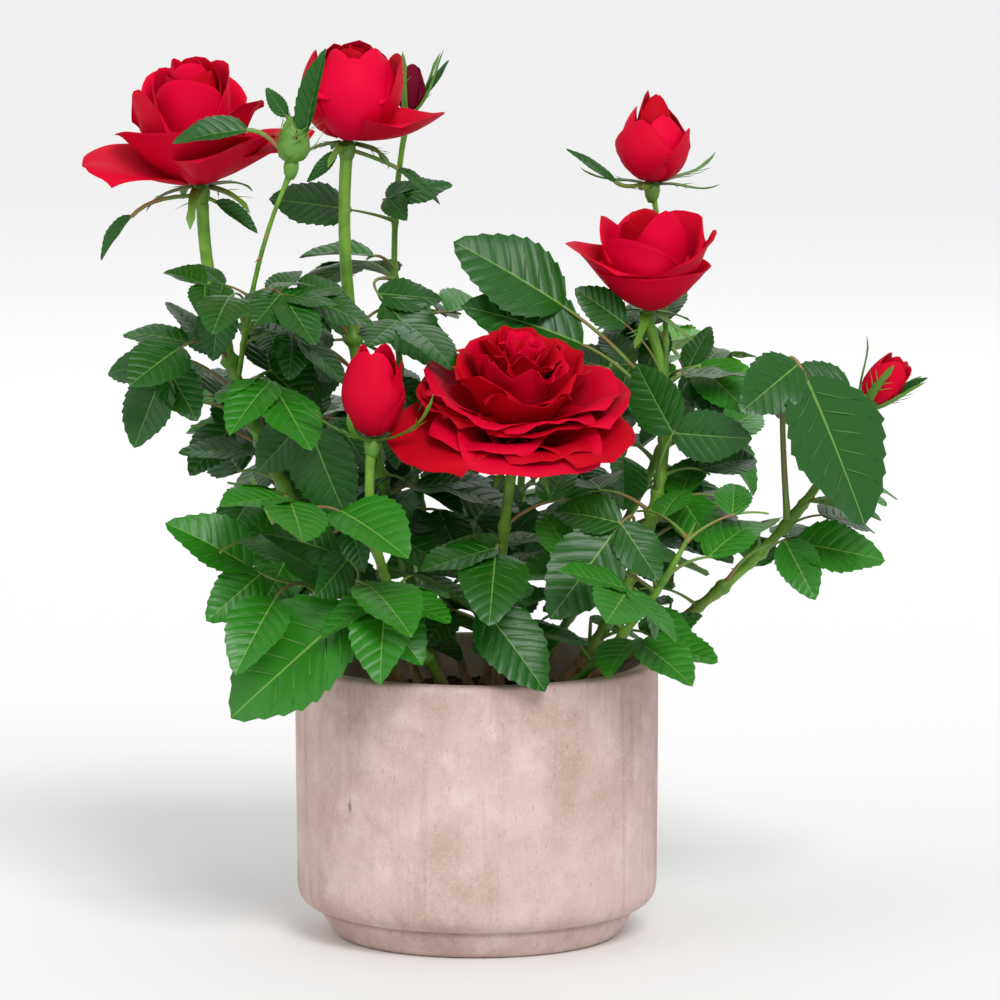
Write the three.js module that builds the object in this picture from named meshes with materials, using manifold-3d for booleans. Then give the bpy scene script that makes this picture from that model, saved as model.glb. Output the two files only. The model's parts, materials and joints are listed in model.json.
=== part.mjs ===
// A potted miniature rose: round stoneware pot, soil, moss, twelve shoots with compound leaves, blooms and
// buds. Millimetres, +Z up, the origin at the centre of the pot's flat underside, the front towards -Y.
import * as THREE from 'three';
import { mergeVertices } from 'three/addons/utils/BufferGeometryUtils.js';
import Module from 'manifold-3d';

const wasm = await Module();
wasm.setup();

// Pot: a near cylinder on a recessed foot, rim and lower edge eased
const POT_RADIUS = 67.5;
const POT_HEIGHT = 103;
const WALL = 7;
const FLOOR = 14;
const FOOT_RADIUS = 54;
const FOOT_HEIGHT = 9;
const GROOVE = 2;
const LOWER_EASE = 6;
const RIM_EASE = 1.6;
const POT_FACETS = 40;

// Soil filling, and a cushion of moss against the wall
const SOIL_TOP = 88;
const GAP = 0.3;
const MOSS_RADIUS = 12;
const MOSS_HEIGHT = 7;
const MOSS_PLACE = [44, -16];

// Shoots
const TAPER = 0.45;
const ROOT_FLARE = 0.5;
const FLARE_REACH = 0.05;
const CANE_SIDES = 6;
const STEM_SIDES = 5;
const STEM_STEP = 14;
const BELOW_LEAVES = 4;
const ABOVE_LEAVES = 8;

// Leaves: an ovate leaflet folded along its midrib, on a three-sided stalk
const SPIRAL = THREE.MathUtils.degToRad(137.5);
const LEAFLET = 40;
const LEAFLET_WIDTH = 26;
const SIDE_LEAFLET = 34;
const SIDE_LESS = 6;
const SIDE_WIDTH = 0.66;
const PAIR_FIRST = 5;
const PAIR_STEP = 14;
const SPREAD = 62;
const SPREAD_MORE = 6;
const BLADE_THICK = 0.9;
const BLADE_FOLD = 0.12;
const BLADE_SAG = 0.1;
const STALK_RADIUS = 1.1;
const ROOT_SUNK = 0.2;
const END_SUNK = 1.5;
const END_RINGS = [0.38, 0.72];
const SIDE_RINGS = [0.45];
const SOLID_PAIRS = 1;

// Room kept round a blade, a stalk and a stem, and the spacing of the points that are tested
const BLADE_ROOM = 2.8;
const STALK_ROOM = 1.4;
const STEM_ROOM = 0.6;
const ROOM_STEP = 4;
const LOWEST_PLACED = 60;
const TRIES = 6;

// Flowers
const PETAL_THICK = 1.4;
const NOTCH = 0.74;
const SEPALS = 5;
const SEPAL_HALF = 1.8;
const HEART_SIDES = 8;
const FLOWER_FOOT = 2.6;

// Shoot: start, rising point, settling point, tip, base radius, leafy stretch from and to, leaves, bearing
// of the first leaf in degrees, leaf size, droop, seed
const SHOOTS = {
  left_tall: [[-24, -2, 88], [-62, -6, 148], [-100, -14, 208], [-101, -12, 274], 2.2, 0.24, 0.74, 8, 200, 0.84, 1, 11],
  mid_tall: [[-12, 12, 88], [-26, 10, 140], [-54, 4, 212], [-48, 2, 290], 2.1, 0.25, 0.74, 8, 70, 0.84, 1, 5],
  back_slim: [[-2, 24, 88], [-22, 26, 150], [-38, 36, 235], [-25, 34, 300], 1.5, 0.25, 0.74, 7, 20, 0.78, 1, 9],
  front_bud: [[-8, -22, 88], [-20, -32, 112], [-46, -50, 140], [-40, -52, 190], 1.9, 0.22, 0.55, 3, 240, 0.86, 1, 3],
  centre: [[8, -14, 88], [5, -18, 118], [8, -26, 150], [12, -33, 181], 2.1, 0.22, 0.78, 4, 300, 0.86, 1, 21],
  right_tall: [[22, -8, 88], [50, -16, 106], [84, -6, 178], [63, 0, 229], 2.1, 0.22, 0.85, 8, 330, 0.86, 1, 14],
  far_right: [[28, 3, 88], [57, 1, 103], [114, 2, 134], [143, 6, 194], 2.2, 0.36, 0.84, 6, 75, 0.76, 0.3, 17],
  low_left: [[-26, -12, 88], [-44, -26, 110], [-66, -34, 138], [-84, -34, 176], 1.7, 0.25, 1, 6, 120, 0.9, 1, 31],
  back_left: [[-20, 20, 88], [-36, 44, 130], [-62, 66, 160], [-74, 70, 206], 1.8, 0.22, 0.86, 7, 100, 0.9, 1, 41],
  back_mid: [[4, 28, 88], [12, 52, 124], [20, 76, 146], [20, 80, 168], 1.9, 0.25, 0.86, 5, 60, 0.9, 1, 51],
  back_right: [[20, 20, 88], [40, 44, 122], [74, 62, 160], [82, 60, 210], 1.8, 0.22, 1, 8, 20, 0.88, 1, 61],
  low_right: [[24, -20, 88], [44, -38, 108], [62, -48, 126], [78, -46, 160], 1.6, 0.3, 1, 5, 300, 0.8, 0.3, 71],
};

// Fork: parent shoot, where on it, first stretch, settling point, tip, then as for a shoot from the radius
const FORKS = {
  green_bud: ['left_tall', 0.66, [3, -6, 14], [-84, -40, 256], [-69, -44, 288], 1.1, 0.2, 0.5, 1, 20, 0.6, 1, 81],
  upper_right: ['right_tall', 0.62, [4, 10, 24], [74, 26, 236], [66, 22, 276], 1.2, 0.15, 0.55, 2, 60, 0.7, 1, 91],
};

// Leaf with a set place: shoot, where on it, node, tip, the way it faces, splay of the side leaflets in
// degrees, their size, pairs of them
const SET_LEAVES = [
  ['front_bud', 0.36, [-47, -60, 131], [-93, -63, 92], [0.1, -0.6, 0.7], 100, 0.6, 1],
  ['centre', 0.22, [0, -60, 131], [23, -76, 104], [0.1, -0.8, 0.6], 80, 0.8, 1],
  ['far_right', 0.74, [120, -22, 210], [143, -34, 157], [0.5, -0.8, 0.3], 75, 0.7, 1],
  ['far_right', 0.55, [118, -8, 147], [152, -8, 141], [0.1, -0.75, 0.6], 62, 0.9, 1],
  ['right_tall', 0.3, [48, -50, 157], [24, -62, 127], [0.1, -0.75, 0.6], 70, 0.8, 1],
  ['right_tall', 0.8, [36, -8, 229], [-8, -6, 262], [-0.1, -0.6, 0.8], 62, 0.8, 1],
  ['left_tall', 0.62, [-116, -18, 212], [-127, -28, 186], [-0.4, -0.9, 0.3], 62, 1, 1],
  ['low_left', 0.62, [-84, -44, 144], [-114, -44, 163], [-0.1, -0.7, 0.7], 62, 0.9, 1],
  ['front_bud', 0.55, [-62, -36, 194], [-50, -42, 160], [-0.3, -0.9, 0.4], 62, 0.9, 1],
  ['low_left', 0.5, [-52, -56, 150], [-78, -66, 163], [-0.2, -0.7, 0.7], 62, 0.9, 1],
  ['right_tall', 0.62, [74, -22, 194], [97, -24, 226], [0.1, -0.85, 0.5], 62, 0.85, 1],
  ['mid_tall', 0.62, [-70, -14, 222], [-104, -22, 216], [-0.1, -0.6, 0.8], 62, 0.9, 2],
  ['mid_tall', 0.7, [-62, -12, 236], [-50, -20, 210], [0, -0.9, 0.5], 62, 0.9, 1],
  ['back_slim', 0.72, [-34, 6, 236], [-12, -4, 212], [0.2, -0.9, 0.5], 62, 0.9, 1],
  ['left_tall', 0.7, [-92, -2, 226], [-103, -4, 252], [-0.1, -0.7, 0.7], 62, 0.9, 1],
  ['back_slim', 0.86, [-30, 16, 274], [-8, 14, 279], [0, -0.6, 0.8], 50, 0.8, 1],
];

// Flower on a shoot: kind, lean of its axis, turn about it in degrees
const FLOWERS = {
  left_tall: ['cone', [-0.12, -0.2, 1], -21],
  mid_tall: ['globe', [0.08, -0.1, 1], -35],
  back_slim: ['small_bud', [0.1, 0, 1], 0],
  green_bud: ['green_bud', [0.1, 0, 1], 0],
  front_bud: ['bud', [0.02, -0.05, 1], 0],
  centre: ['rosette', [0.1, -0.55, 1], 10],
  right_tall: ['cup', [0.02, -0.2, 1], 0],
  upper_right: ['bud', [0.12, -0.05, 1], 30],
  far_right: ['small_rose', [0.55, -0.05, 1], 0],
  back_mid: ['cup', [0.05, 0.45, 1], 40],
  back_left: ['green_bud', [-0.15, 0.1, 1], 0],
};

// Kind of flower: height and size of the room it keeps; profile of its closed heart as [radius, height] up
// to its point; outer petals as count, length and angles from the axis at foot, middle and tip; sepals as
// length and angles at foot and tip
const KINDS = {
  cone: {
    room: [22, 34],
    heart: [[6, 1], [17, 12], [16, 27], [8, 41]],
    point: 47,
    petals: [5, 46, 60, 90, 100],
    sepals: [20, 115, 150],
  },
  globe: {
    room: [20, 23],
    heart: [[6, 1], [19, 9], [22, 22], [16, 34]],
    point: 40,
    petals: [1, 34, 88, 78, 66],
    sepals: [18, 115, 150],
  },
  cup: {
    room: [18, 25],
    heart: [[6, 1], [11, 9], [12, 18], [7, 24]],
    point: 26,
    petals: [5, 40, 70, 25, 38],
    sepals: [18, 115, 150],
  },
  rosette: {
    room: [16, 33],
    heart: [[6, 1], [21, 10], [25, 20], [14, 28]],
    point: 31,
    petals: [6, 38, 62, 80, 94],
    sepals: [16, 115, 150],
  },
  bud: {
    room: [14, 13],
    heart: [[4, 1], [9.5, 9], [9, 17], [4.5, 25]],
    point: 30,
    petals: [0],
    sepals: [24, 80, 150],
  },
  small_rose: {
    room: [14, 11],
    heart: [[3.5, 1], [8, 7], [8, 14], [4.5, 20]],
    point: 24,
    petals: [0],
    sepals: [20, 40, 20],
  },
  small_bud: {
    room: [8, 8],
    heart: [[2.5, 1], [4.6, 5], [4.2, 10], [2, 15]],
    point: 19,
    petals: [0],
    sepals: [24, 40, 15],
  },
  green_bud: {
    room: [8, 9],
    heart: [[3, 1], [5.2, 5], [4.6, 10], [2, 15]],
    point: 18,
    petals: [0],
    sepals: [24, 20, 50],
  },
};

const UP = new THREE.Vector3(0, 0, 1);
const FRONT = new THREE.Vector3(0, -1, 0);
const ACROSS = new THREE.Vector3(0, 1, 0);

const vec = (p) => new THREE.Vector3(...p);
const radians = THREE.MathUtils.degToRad;

// Sum of vectors, each with its own weight: [vector, weight], ...
function blend(...terms) {
  const sum = new THREE.Vector3();
  terms.forEach(([v, w]) => sum.addScaledVector(v, w));
  return sum;
}

// The part of a vector that stands square to an axis, at unit length
const squareTo = (v, axis) => blend([v, 1], [axis, -v.dot(axis)]).normalize();

// Repeatable dice
function dice(seed) {
  let state = seed;
  return () => {
    state = (state * 1664525 + 1013904223) % 4294967296;
    return state / 4294967296;
  };
}

// One shoot: a cubic curve with a taper
class Shoot {
  constructor(name, start, rise, settle, tip, form, parent) {
    this.name = name;
    this.curve = new THREE.CubicBezierCurve3(start, rise, settle, tip);
    [this.radius, this.from, this.to, this.leaves, this.bearing, this.size, this.droop, this.seed] = form;
    this.parent = parent;
    this.grown = [];
  }

  point(t) {
    return this.curve.getPoint(t);
  }

  speed(t) {
    const { v0, v1, v2, v3 } = this.curve;
    const a = 3 * (1 - t) ** 2;
    const b = 6 * t * (1 - t);
    const c = 3 * t * t;
    return blend([v0, -a], [v1, a - b], [v2, b - c], [v3, c]);
  }

  heading(t) {
    return this.speed(t).normalize();
  }

  thick(t) {
    return this.radius * (1 - TAPER * t);
  }

  // The leafy part: from just below its first leaf to just above its last
  leafy() {
    const places = this.grown.map((leaf) => leaf.t);
    const first = Math.min(...places);
    const last = Math.max(...places);
    return [
      this.parent ? 0 : first - BELOW_LEAVES / this.speed(first).length(),
      Math.min(1, last + ABOVE_LEAVES / this.speed(last).length()),
    ];
  }

  // The place a small gap further along
  past(t) {
    return t + GAP / this.speed(t).length();
  }
}

function plantShoots() {
  const shoots = {};
  Object.entries(SHOOTS).forEach(([name, [start, rise, settle, tip, ...form]]) => {
    shoots[name] = new Shoot(name, vec(start), vec(rise), vec(settle), vec(tip), form, null);
  });
  Object.entries(FORKS).forEach(([name, [parent, at, rise, settle, tip, ...form]]) => {
    const start = shoots[parent].point(at);
    shoots[name] = new Shoot(name, start, start.clone().add(vec(rise)), vec(settle), vec(tip), form, parent);
  });
  return shoots;
}

// Half-width of a leaflet along its length, 1 at the widest
const outline = (s) => Math.sin(Math.PI * s ** 0.8) ** 0.75;

// Points on a leaflet: s along it, u across it from -1 to 1, h off its face
function bladePoint({ base, way, face, length, width }, s, u, h = 0) {
  const half = (width / 2) * outline(Math.min(s, 1)) * u;
  const side = new THREE.Vector3().crossVectors(face, way);
  const rise = BLADE_FOLD * Math.abs(half) - BLADE_SAG * s * s * length + h;
  return blend([base, 1], [way, s * length], [side, half], [face, rise]);
}

// The room taken up so far, as balls with an owner each
class Room {
  constructor() {
    this.balls = [];
  }

  take(balls, owner) {
    balls.forEach(([p, r]) => this.balls.push({ p, r, owner }));
  }

  free(balls, own, lowest) {
    const others = this.balls.filter((ball) => !own.includes(ball.owner));
    return balls.every(([p, r]) => {
      const out = Math.hypot(p.x, p.y);
      const inner = POT_RADIUS - WALL;
      const inWall = p.z < POT_HEIGHT + r && out > inner - r && out < POT_RADIUS + r;
      const inSoil = p.z < SOIL_TOP + r && out <= inner - r;
      if (inWall || inSoil || p.z < lowest) {
        return false;
      }
      return others.every((ball) => ball.p.distanceToSquared(p) >= (ball.r + r) ** 2);
    });
  }
}

const evenly = (count) => Array.from({ length: count + 1 }, (_, i) => i / count);
const stepsOver = (length) => Math.max(2, Math.ceil(length / ROOM_STEP));

function bladeRoom(leaflet) {
  return evenly(stepsOver(leaflet.length)).flatMap((s) => {
    const wide = leaflet.width * outline(s);
    const places = wide < ROOM_STEP / 2 ? [0] : evenly(Math.ceil(wide / ROOM_STEP)).map((k) => 2 * k - 1);
    return places.map((u) => [bladePoint(leaflet, s, u), BLADE_ROOM]);
  });
}

// Room of a flower: a ball and a ring of smaller ones, so wider than tall
function flowerRoom(tip, [kind, lean, turn]) {
  const [height, size] = KINDS[kind].room;
  const place = flowerFrame(tip, lean, turn);
  const ring = evenly(8).slice(1).map((k) => {
    const a = 2 * Math.PI * k;
    return [place(0.75 * size * Math.cos(a), 0.75 * size * Math.sin(a), height), 0.4 * size];
  });
  return [[place(0, 0, height), 0.8 * size], ...ring];
}

function flowerFrame(tip, lean, turn) {
  const axis = vec(lean).normalize();
  const across = squareTo(new THREE.Vector3(1, 0, 0), axis);
  const along = new THREE.Vector3().crossVectors(axis, across);
  const c = Math.cos(radians(turn));
  const s = Math.sin(radians(turn));
  return (x, y, z) => blend([tip, 1], [across, x * c - y * s], [along, x * s + y * c], [axis, z]);
}

// A compound leaf: a bent stalk from foot to node, one leaflet on its end and pairs of them below
function compoundLeaf(foot, node, way, facing, scale, pairs, roll, splay, sideSize) {
  const reach = node.distanceTo(foot);
  const bend = blend([node, 1], [way, -0.5 * reach]);
  const stalk = new THREE.QuadraticBezierCurve3(foot, bend, node);
  const heading = (t) => blend([foot, t - 1], [bend, 1 - 2 * t], [node, t]).normalize();
  const leaflets = [{
    pair: -1,
    base: node,
    way,
    face: squareTo(facing, way),
    length: LEAFLET * scale,
    width: LEAFLET_WIDTH * scale,
  }];
  const joins = [];
  for (let pair = 0; pair < pairs; pair += 1) {
    const t = Math.max(0.1, 1 - ((PAIR_FIRST + PAIR_STEP * pair) * scale) / reach);
    joins.unshift(t);
    const on = heading(t);
    const face = squareTo(facing, on);
    const side = new THREE.Vector3().crossVectors(face, on);
    const spread = radians(splay + SPREAD_MORE * pair + 12 * (roll() - 0.5));
    const length = (SIDE_LEAFLET - SIDE_LESS * pair) * scale * sideSize * (0.94 + 0.12 * roll());
    [-1, 1].forEach((hand) => {
      const out = blend([on, Math.cos(spread)], [side, hand * Math.sin(spread)], [face, -0.1]).normalize();
      leaflets.push({
        pair,
        base: stalk.getPoint(t),
        way: out,
        face: squareTo(face, out),
        length,
        width: length * SIDE_WIDTH,
      });
    });
  }
  return { stalk, heading, facing, joins, leaflets, reach };
}

// Adds a leaf where its stalk is free, with those of its leaflets that are free too
function addLeaf(room, shoot, t, key, lowest, spec) {
  const leaf = compoundLeaf(shoot.point(t), ...spec);
  const count = Math.max(2, Math.floor(leaf.reach / ROOM_STEP));
  const along = evenly(count).map((s) => [leaf.stalk.getPoint(s), STALK_ROOM]);
  if (!room.free(along.slice(2), [key], lowest)) {
    return false;
  }
  leaf.leaflets = leaf.leaflets.filter((leaflet) => {
    const balls = bladeRoom(leaflet);
    const fits = room.free(balls, [key], lowest);
    if (fits) {
      room.take(balls, key);
    }
    return fits;
  });
  if (leaf.leaflets.length === 0) {
    return false;
  }
  room.take(along, key);
  shoot.grown.push({ ...leaf, t });
  return true;
}

// The growth rule: stems and flowers take their room, then the set leaves, then leaves in a spiral up each
// shoot, one round after another; a leaf or leaflet with no room is left out
function growLeaves(shoots) {
  const room = new Room();
  Object.values(shoots).forEach((shoot) => {
    const count = Math.floor(shoot.curve.v0.distanceTo(shoot.curve.v3) / ROOM_STEP);
    const along = evenly(count).map((t) => [shoot.point(t), shoot.thick(t) + STEM_ROOM]);
    room.take(along, `${shoot.name} stem`);
    if (FLOWERS[shoot.name]) {
      room.take(flowerRoom(shoot.point(1), FLOWERS[shoot.name]), `${shoot.name} flower`);
    }
  });
  SET_LEAVES.forEach(([name, t, node, tip, facing, splay, sideSize, pairs], i) => {
    const way = vec(tip).sub(vec(node));
    const scale = way.length() / LEAFLET;
    const spec = [vec(node), way.normalize(), vec(facing), scale, pairs, dice(900 + i), splay, sideSize];
    addLeaf(room, shoots[name], t, `set ${i}`, LOWEST_PLACED, spec);
  });
  const rolls = {};
  const rounds = Math.max(...Object.values(shoots).map((shoot) => shoot.leaves));
  for (let i = 0; i < rounds; i += 1) {
    Object.values(shoots).filter((shoot) => i < shoot.leaves).forEach((shoot) => {
      rolls[shoot.name] ??= dice(shoot.seed);
      const roll = rolls[shoot.name];
      const t = shoot.from + ((shoot.to - shoot.from) * (i + 0.3 + 0.4 * roll())) / shoot.leaves;
      for (let attempt = 0; attempt < TRIES; attempt += 1) {
        const swing = 0.9 * attempt * (attempt % 2 ? 1 : -1) + 0.5 * (roll() - 0.5);
        const azimuth = radians(shoot.bearing) + i * SPIRAL + swing;
        const out = vec([Math.cos(azimuth), Math.sin(azimuth), 0]);
        const scale = shoot.size * (0.88 + 0.26 * roll());
        const pairs = roll() < 0.3 ? 1 : 2;
        const reach = (16 + 13 * pairs) * scale * (0.9 + 0.3 * roll());
        const lift = 0.75 + 0.5 * roll();
        const droop = (0.15 + 0.6 * roll()) * shoot.droop;
        const leaving = blend([out, 0.9], [UP, lift]).normalize();
        const way = blend([out, 1], [UP, -droop]).normalize();
        const node = blend([shoot.point(t), 1], [leaving, reach / 2], [way, reach / 2]);
        const facing = blend([UP, 0.62], [out, 0.35], [FRONT, 0.42]);
        facing.x += 0.5 * (roll() - 0.5);
        facing.y += 0.5 * (roll() - 0.5);
        const spec = [node, way, facing, scale, pairs, roll, SPREAD, 1];
        if (addLeaf(room, shoot, t, `${shoot.name} ${i}`, POT_HEIGHT, spec)) {
          break;
        }
      }
    });
  }
}

// Closed skin over rings of points, each ring turning right-handed about the way they run
function skin(rings, first, last) {
  const around = rings[0].length;
  const positions = [first, ...rings.flat(), last].flatMap((p) => [p.x, p.y, p.z]);
  const end = 1 + rings.length * around;
  const faces = [];
  for (let j = 0; j < around; j += 1) {
    const next = (j + 1) % around;
    faces.push(0, 1 + next, 1 + j);
    for (let i = 0; i + 1 < rings.length; i += 1) {
      const low = 1 + i * around;
      const high = low + around;
      faces.push(low + j, low + next, high + next, low + j, high + next, high + j);
    }
    faces.push(end, end - around + j, end - around + next);
  }
  return solid(new Float32Array(positions), new Uint32Array(faces));
}

const solid = (vertProperties, triVerts) => (
  new wasm.Manifold(new wasm.Mesh({ numProp: 3, vertProperties, triVerts }))
);

// All the solids as one body: sealed hollows filled, loose scraps dropped
function fuse(solids) {
  const bodies = solids.reduce((whole, one) => whole.add(one)).decompose();
  return bodies.reduce((largest, body) => (body.volume() > largest.volume() ? body : largest));
}

// A tapering limb: places and headings along it, a radius at each
function limb(stations, sides, reference) {
  const rings = stations.map(({ at, way, radius }) => {
    const across = new THREE.Vector3().crossVectors(reference, way).normalize();
    const up = new THREE.Vector3().crossVectors(way, across);
    return evenly(sides).slice(1).map((k) => {
      const a = 2 * Math.PI * k;
      return blend([at, 1], [across, radius * Math.cos(a)], [up, radius * Math.sin(a)]);
    });
  });
  return skin(rings, stations[0].at, stations.at(-1).at);
}

// Stations on a shoot from one place to another; the last can widen into a flower's foot
function stretch(shoot, from, to, step, widen = 1) {
  const length = shoot.point(from).distanceTo(shoot.point(to));
  return evenly(Math.max(1, Math.ceil(length / step))).map((k) => {
    const t = from + (to - from) * k;
    const radius = shoot.thick(t) * (k === 1 ? widen : 1);
    return { at: shoot.point(t), way: shoot.heading(t), radius };
  });
}

// The bare cane, cut off flat at the soil, with its root flare
function cane(shoot) {
  const [top] = shoot.leafy();
  const flare = shoot.radius * (1 + ROOT_FLARE);
  const foot = { at: shoot.point(0), way: UP, radius: flare };
  return limb([foot, ...stretch(shoot, FLARE_REACH, top, STEM_STEP)], CANE_SIDES, ACROSS);
}

// One compound leaf: the three-sided stalk and its folded leaflets, sunk into it at the root
function leafSolids(leaf) {
  const stations = [0, ...leaf.joins, 1].map((t) => ({
    at: leaf.stalk.getPoint(t),
    way: leaf.heading(t),
    radius: STALK_RADIUS * (1 - 0.25 * t),
  }));
  const shown = leaf.leaflets.filter((leaflet) => leaflet.pair < SOLID_PAIRS);
  const blades = shown.map((leaflet) => {
    const half = BLADE_THICK / 2;
    const atEnd = leaflet.pair < 0;
    const rings = (atEnd ? END_RINGS : SIDE_RINGS).map((s) => [
      bladePoint(leaflet, s, 1),
      bladePoint(leaflet, s, 0, half),
      bladePoint(leaflet, s, -1),
      bladePoint(leaflet, s, 0, -half),
    ]);
    const root = blend([leaflet.base, 1], [leaflet.way, atEnd ? -END_SUNK : -ROOT_SUNK]);
    return skin(rings, root, bladePoint(leaflet, 1, 0));
  });
  return [limb(stations, 3, leaf.facing), ...blades];
}

// A mass of foliage: the shoot's leafy stem, that of its fork, and all their leaves in one solid
function foliage(shoot, forks) {
  const [from, to] = shoot.leafy();
  const stem = limb(stretch(shoot, shoot.past(from), to, STEM_STEP), STEM_SIDES, ACROSS);
  const branches = forks.map((fork) => (
    limb(stretch(fork, 0, fork.leafy()[1], STEM_STEP), STEM_SIDES, ACROSS)
  ));
  const leaves = [shoot, ...forks].flatMap((one) => one.grown.flatMap(leafSolids));
  return fuse([stem, ...branches, ...leaves]);
}

// A petal's middle line: radius from the axis, height and angle at a share of its length
function petalLine([, length, foot, middle, tip], share) {
  const angle = (v) => radians(
    foot * (1 - v) * (1 - 2 * v) + middle * 4 * v * (1 - v) + tip * v * (2 * v - 1),
  );
  const steps = 8;
  let radius = 2.5;
  let height = 2.5;
  for (let i = 0; i < steps; i += 1) {
    const a = angle((share * (i + 0.5)) / steps);
    radius += (length * share * Math.sin(a)) / steps;
    height += (length * share * Math.cos(a)) / steps;
  }
  return { radius, height, angle: angle(share) };
}

// The open petals of a flower as one lobed saucer: out along its underside and back along its upper side
function saucer(place, petals) {
  const half = PETAL_THICK / 2;
  const stations = [0.1, 0.5, 1].map((v) => [v, -half]).concat([1, 0.5, 0.1].map((v) => [v, half]));
  const rings = stations.map(([v, off]) => evenly(2 * petals[0]).slice(0, -1).map((k, i) => {
    const { radius, height, angle } = petalLine(petals, v * (i % 2 ? NOTCH : 1));
    const out = radius - off * Math.cos(angle);
    const bearing = 2 * Math.PI * k;
    return place(out * Math.cos(bearing), out * Math.sin(bearing), height + off * Math.sin(angle));
  }));
  return skin(rings, place(0, 0, 1), place(0, 0, 5));
}

// One spread petal: a blade that widens to its middle
function petal(place, petals) {
  const half = PETAL_THICK / 2;
  const rings = [[0.1, 4], [0.5, 13], [0.85, 12]].map(([v, wide]) => {
    const { radius, height } = petalLine(petals, v);
    return [
      place(radius, -wide, height + 0.15 * wide),
      place(radius, 0, height - half),
      place(radius, wide, height + 0.15 * wide),
      place(radius, 0, height + half),
    ];
  });
  const end = petalLine(petals, 1);
  return skin(rings, place(0, 0, 2.5), place(end.radius, 0, end.height));
}

// A sepal: a slim three-sided blade from under the flower
function sepal(place, [length, foot, tip], bearing) {
  const line = (v) => petalLine([1, length, foot, (foot + tip) / 2, tip], v);
  const at = (v, side, off) => {
    const { radius, height, angle } = line(v);
    const out = radius - off * Math.cos(angle);
    const c = Math.cos(bearing);
    const s = Math.sin(bearing);
    return place(out * c - side * s, out * s + side * c, height - 1 + off * Math.sin(angle));
  };
  const ring = [at(0.5, -SEPAL_HALF, 0), at(0.5, 0, -0.5), at(0.5, SEPAL_HALF, 0), at(0.5, 0, 0.5)];
  return skin([ring], place(0, 0, 2), at(1, 0, 0));
}

// A round body about the flower's axis
function turned(place, profile, low, high, sides) {
  const rings = profile.map(([radius, height]) => (
    evenly(sides).slice(1).map((k) => {
      const a = 2 * Math.PI * k;
      return place(radius * Math.cos(a), radius * Math.sin(a), height);
    })
  ));
  return skin(rings, place(0, 0, low), place(0, 0, high));
}

// A flower on its own twig, which takes up the shoot's line just above the leafy part
function flower(shoot) {
  const [kind, lean, turn] = FLOWERS[shoot.name];
  const { heart, point, petals, sepals } = KINDS[kind];
  const place = flowerFrame(shoot.point(1), lean, turn);
  const from = shoot.past(shoot.leafy()[1]);
  const parts = [
    limb(stretch(shoot, from, 1, STEM_STEP, FLOWER_FOOT), STEM_SIDES, ACROSS),
    turned(place, heart, heart[0][1] - 2, point, HEART_SIDES),
  ];
  if (petals[0] > 0) {
    parts.push(petals[0] > 1 ? saucer(place, petals) : petal(place, petals));
  }
  for (let i = 0; i < SEPALS; i += 1) {
    parts.push(sepal(place, sepals, (2 * Math.PI * (i + 0.5)) / SEPALS));
  }
  return fuse(parts);
}

// A body turned about the pot's own axis
function lathed(profile, facets) {
  const geometry = new THREE.LatheGeometry(profile.map((p) => new THREE.Vector2(...p)), facets);
  geometry.rotateX(Math.PI / 2);
  geometry.deleteAttribute('normal');
  geometry.deleteAttribute('uv');
  return mergeVertices(geometry, 0.001);
}

// Inner face of the pot's wall at a height
const innerRadius = (z) => POT_RADIUS - WALL - 2 * (1 - (z - FLOOR) / (POT_HEIGHT - FLOOR));

function potProfile() {
  const shoulder = FOOT_HEIGHT + GROOVE;
  const inner = innerRadius(POT_HEIGHT);
  return [
    [0, 0],
    [FOOT_RADIUS, 0],
    [FOOT_RADIUS + 3.5, FOOT_HEIGHT],
    [FOOT_RADIUS + 3, shoulder - 0.5],
    [POT_RADIUS - LOWER_EASE, shoulder],
    [POT_RADIUS - 1.6, shoulder + 3],
    [POT_RADIUS - 0.4, shoulder + LOWER_EASE + 2],
    [POT_RADIUS, POT_HEIGHT - RIM_EASE],
    [POT_RADIUS - RIM_EASE, POT_HEIGHT],
    [inner + RIM_EASE, POT_HEIGHT],
    [innerRadius(POT_HEIGHT - RIM_EASE), POT_HEIGHT - RIM_EASE],
    [innerRadius(FLOOR), FLOOR],
    [0, FLOOR],
  ];
}

function soilProfile() {
  const low = FLOOR + GAP;
  const high = SOIL_TOP - GAP;
  return [
    [0, low],
    [innerRadius(low) - GAP, low],
    [innerRadius(high) - GAP, high],
    [0, high],
  ];
}

const mossProfile = () => [
  [0, 0],
  [0.9 * MOSS_RADIUS, 0],
  [MOSS_RADIUS, 0.25 * MOSS_HEIGHT],
  [0.75 * MOSS_RADIUS, 0.75 * MOSS_HEIGHT],
  [0.35 * MOSS_RADIUS, MOSS_HEIGHT],
  [0, MOSS_HEIGHT],
];

const LOOKS = {
  pot: { color: 0xd3b9b0, roughness: 0.9, metalness: 0 },
  soil: { color: 0x3b2c21, roughness: 1, metalness: 0 },
  moss: { color: 0x6b7422, roughness: 1, metalness: 0 },
  cane: { color: 0x5c7b32, roughness: 0.6, metalness: 0 },
  leaf: { color: 0x2c5a28, roughness: 0.45, metalness: 0 },
  red: { color: 0xc01436, roughness: 0.6, metalness: 0 },
  green: { color: 0x4f7a33, roughness: 0.55, metalness: 0 },
};

const group = new THREE.Group();

function show(name, geometry, look) {
  const mesh = new THREE.Mesh(geometry, new THREE.MeshStandardMaterial(LOOKS[look]));
  mesh.name = name;
  group.add(mesh);
  return mesh;
}

function geometryOf(manifold) {
  const mesh = manifold.getMesh();
  const geometry = new THREE.BufferGeometry();
  geometry.setAttribute('position', new THREE.BufferAttribute(mesh.vertProperties, 3));
  geometry.setIndex(new THREE.BufferAttribute(mesh.triVerts, 1));
  return geometry;
}

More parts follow.
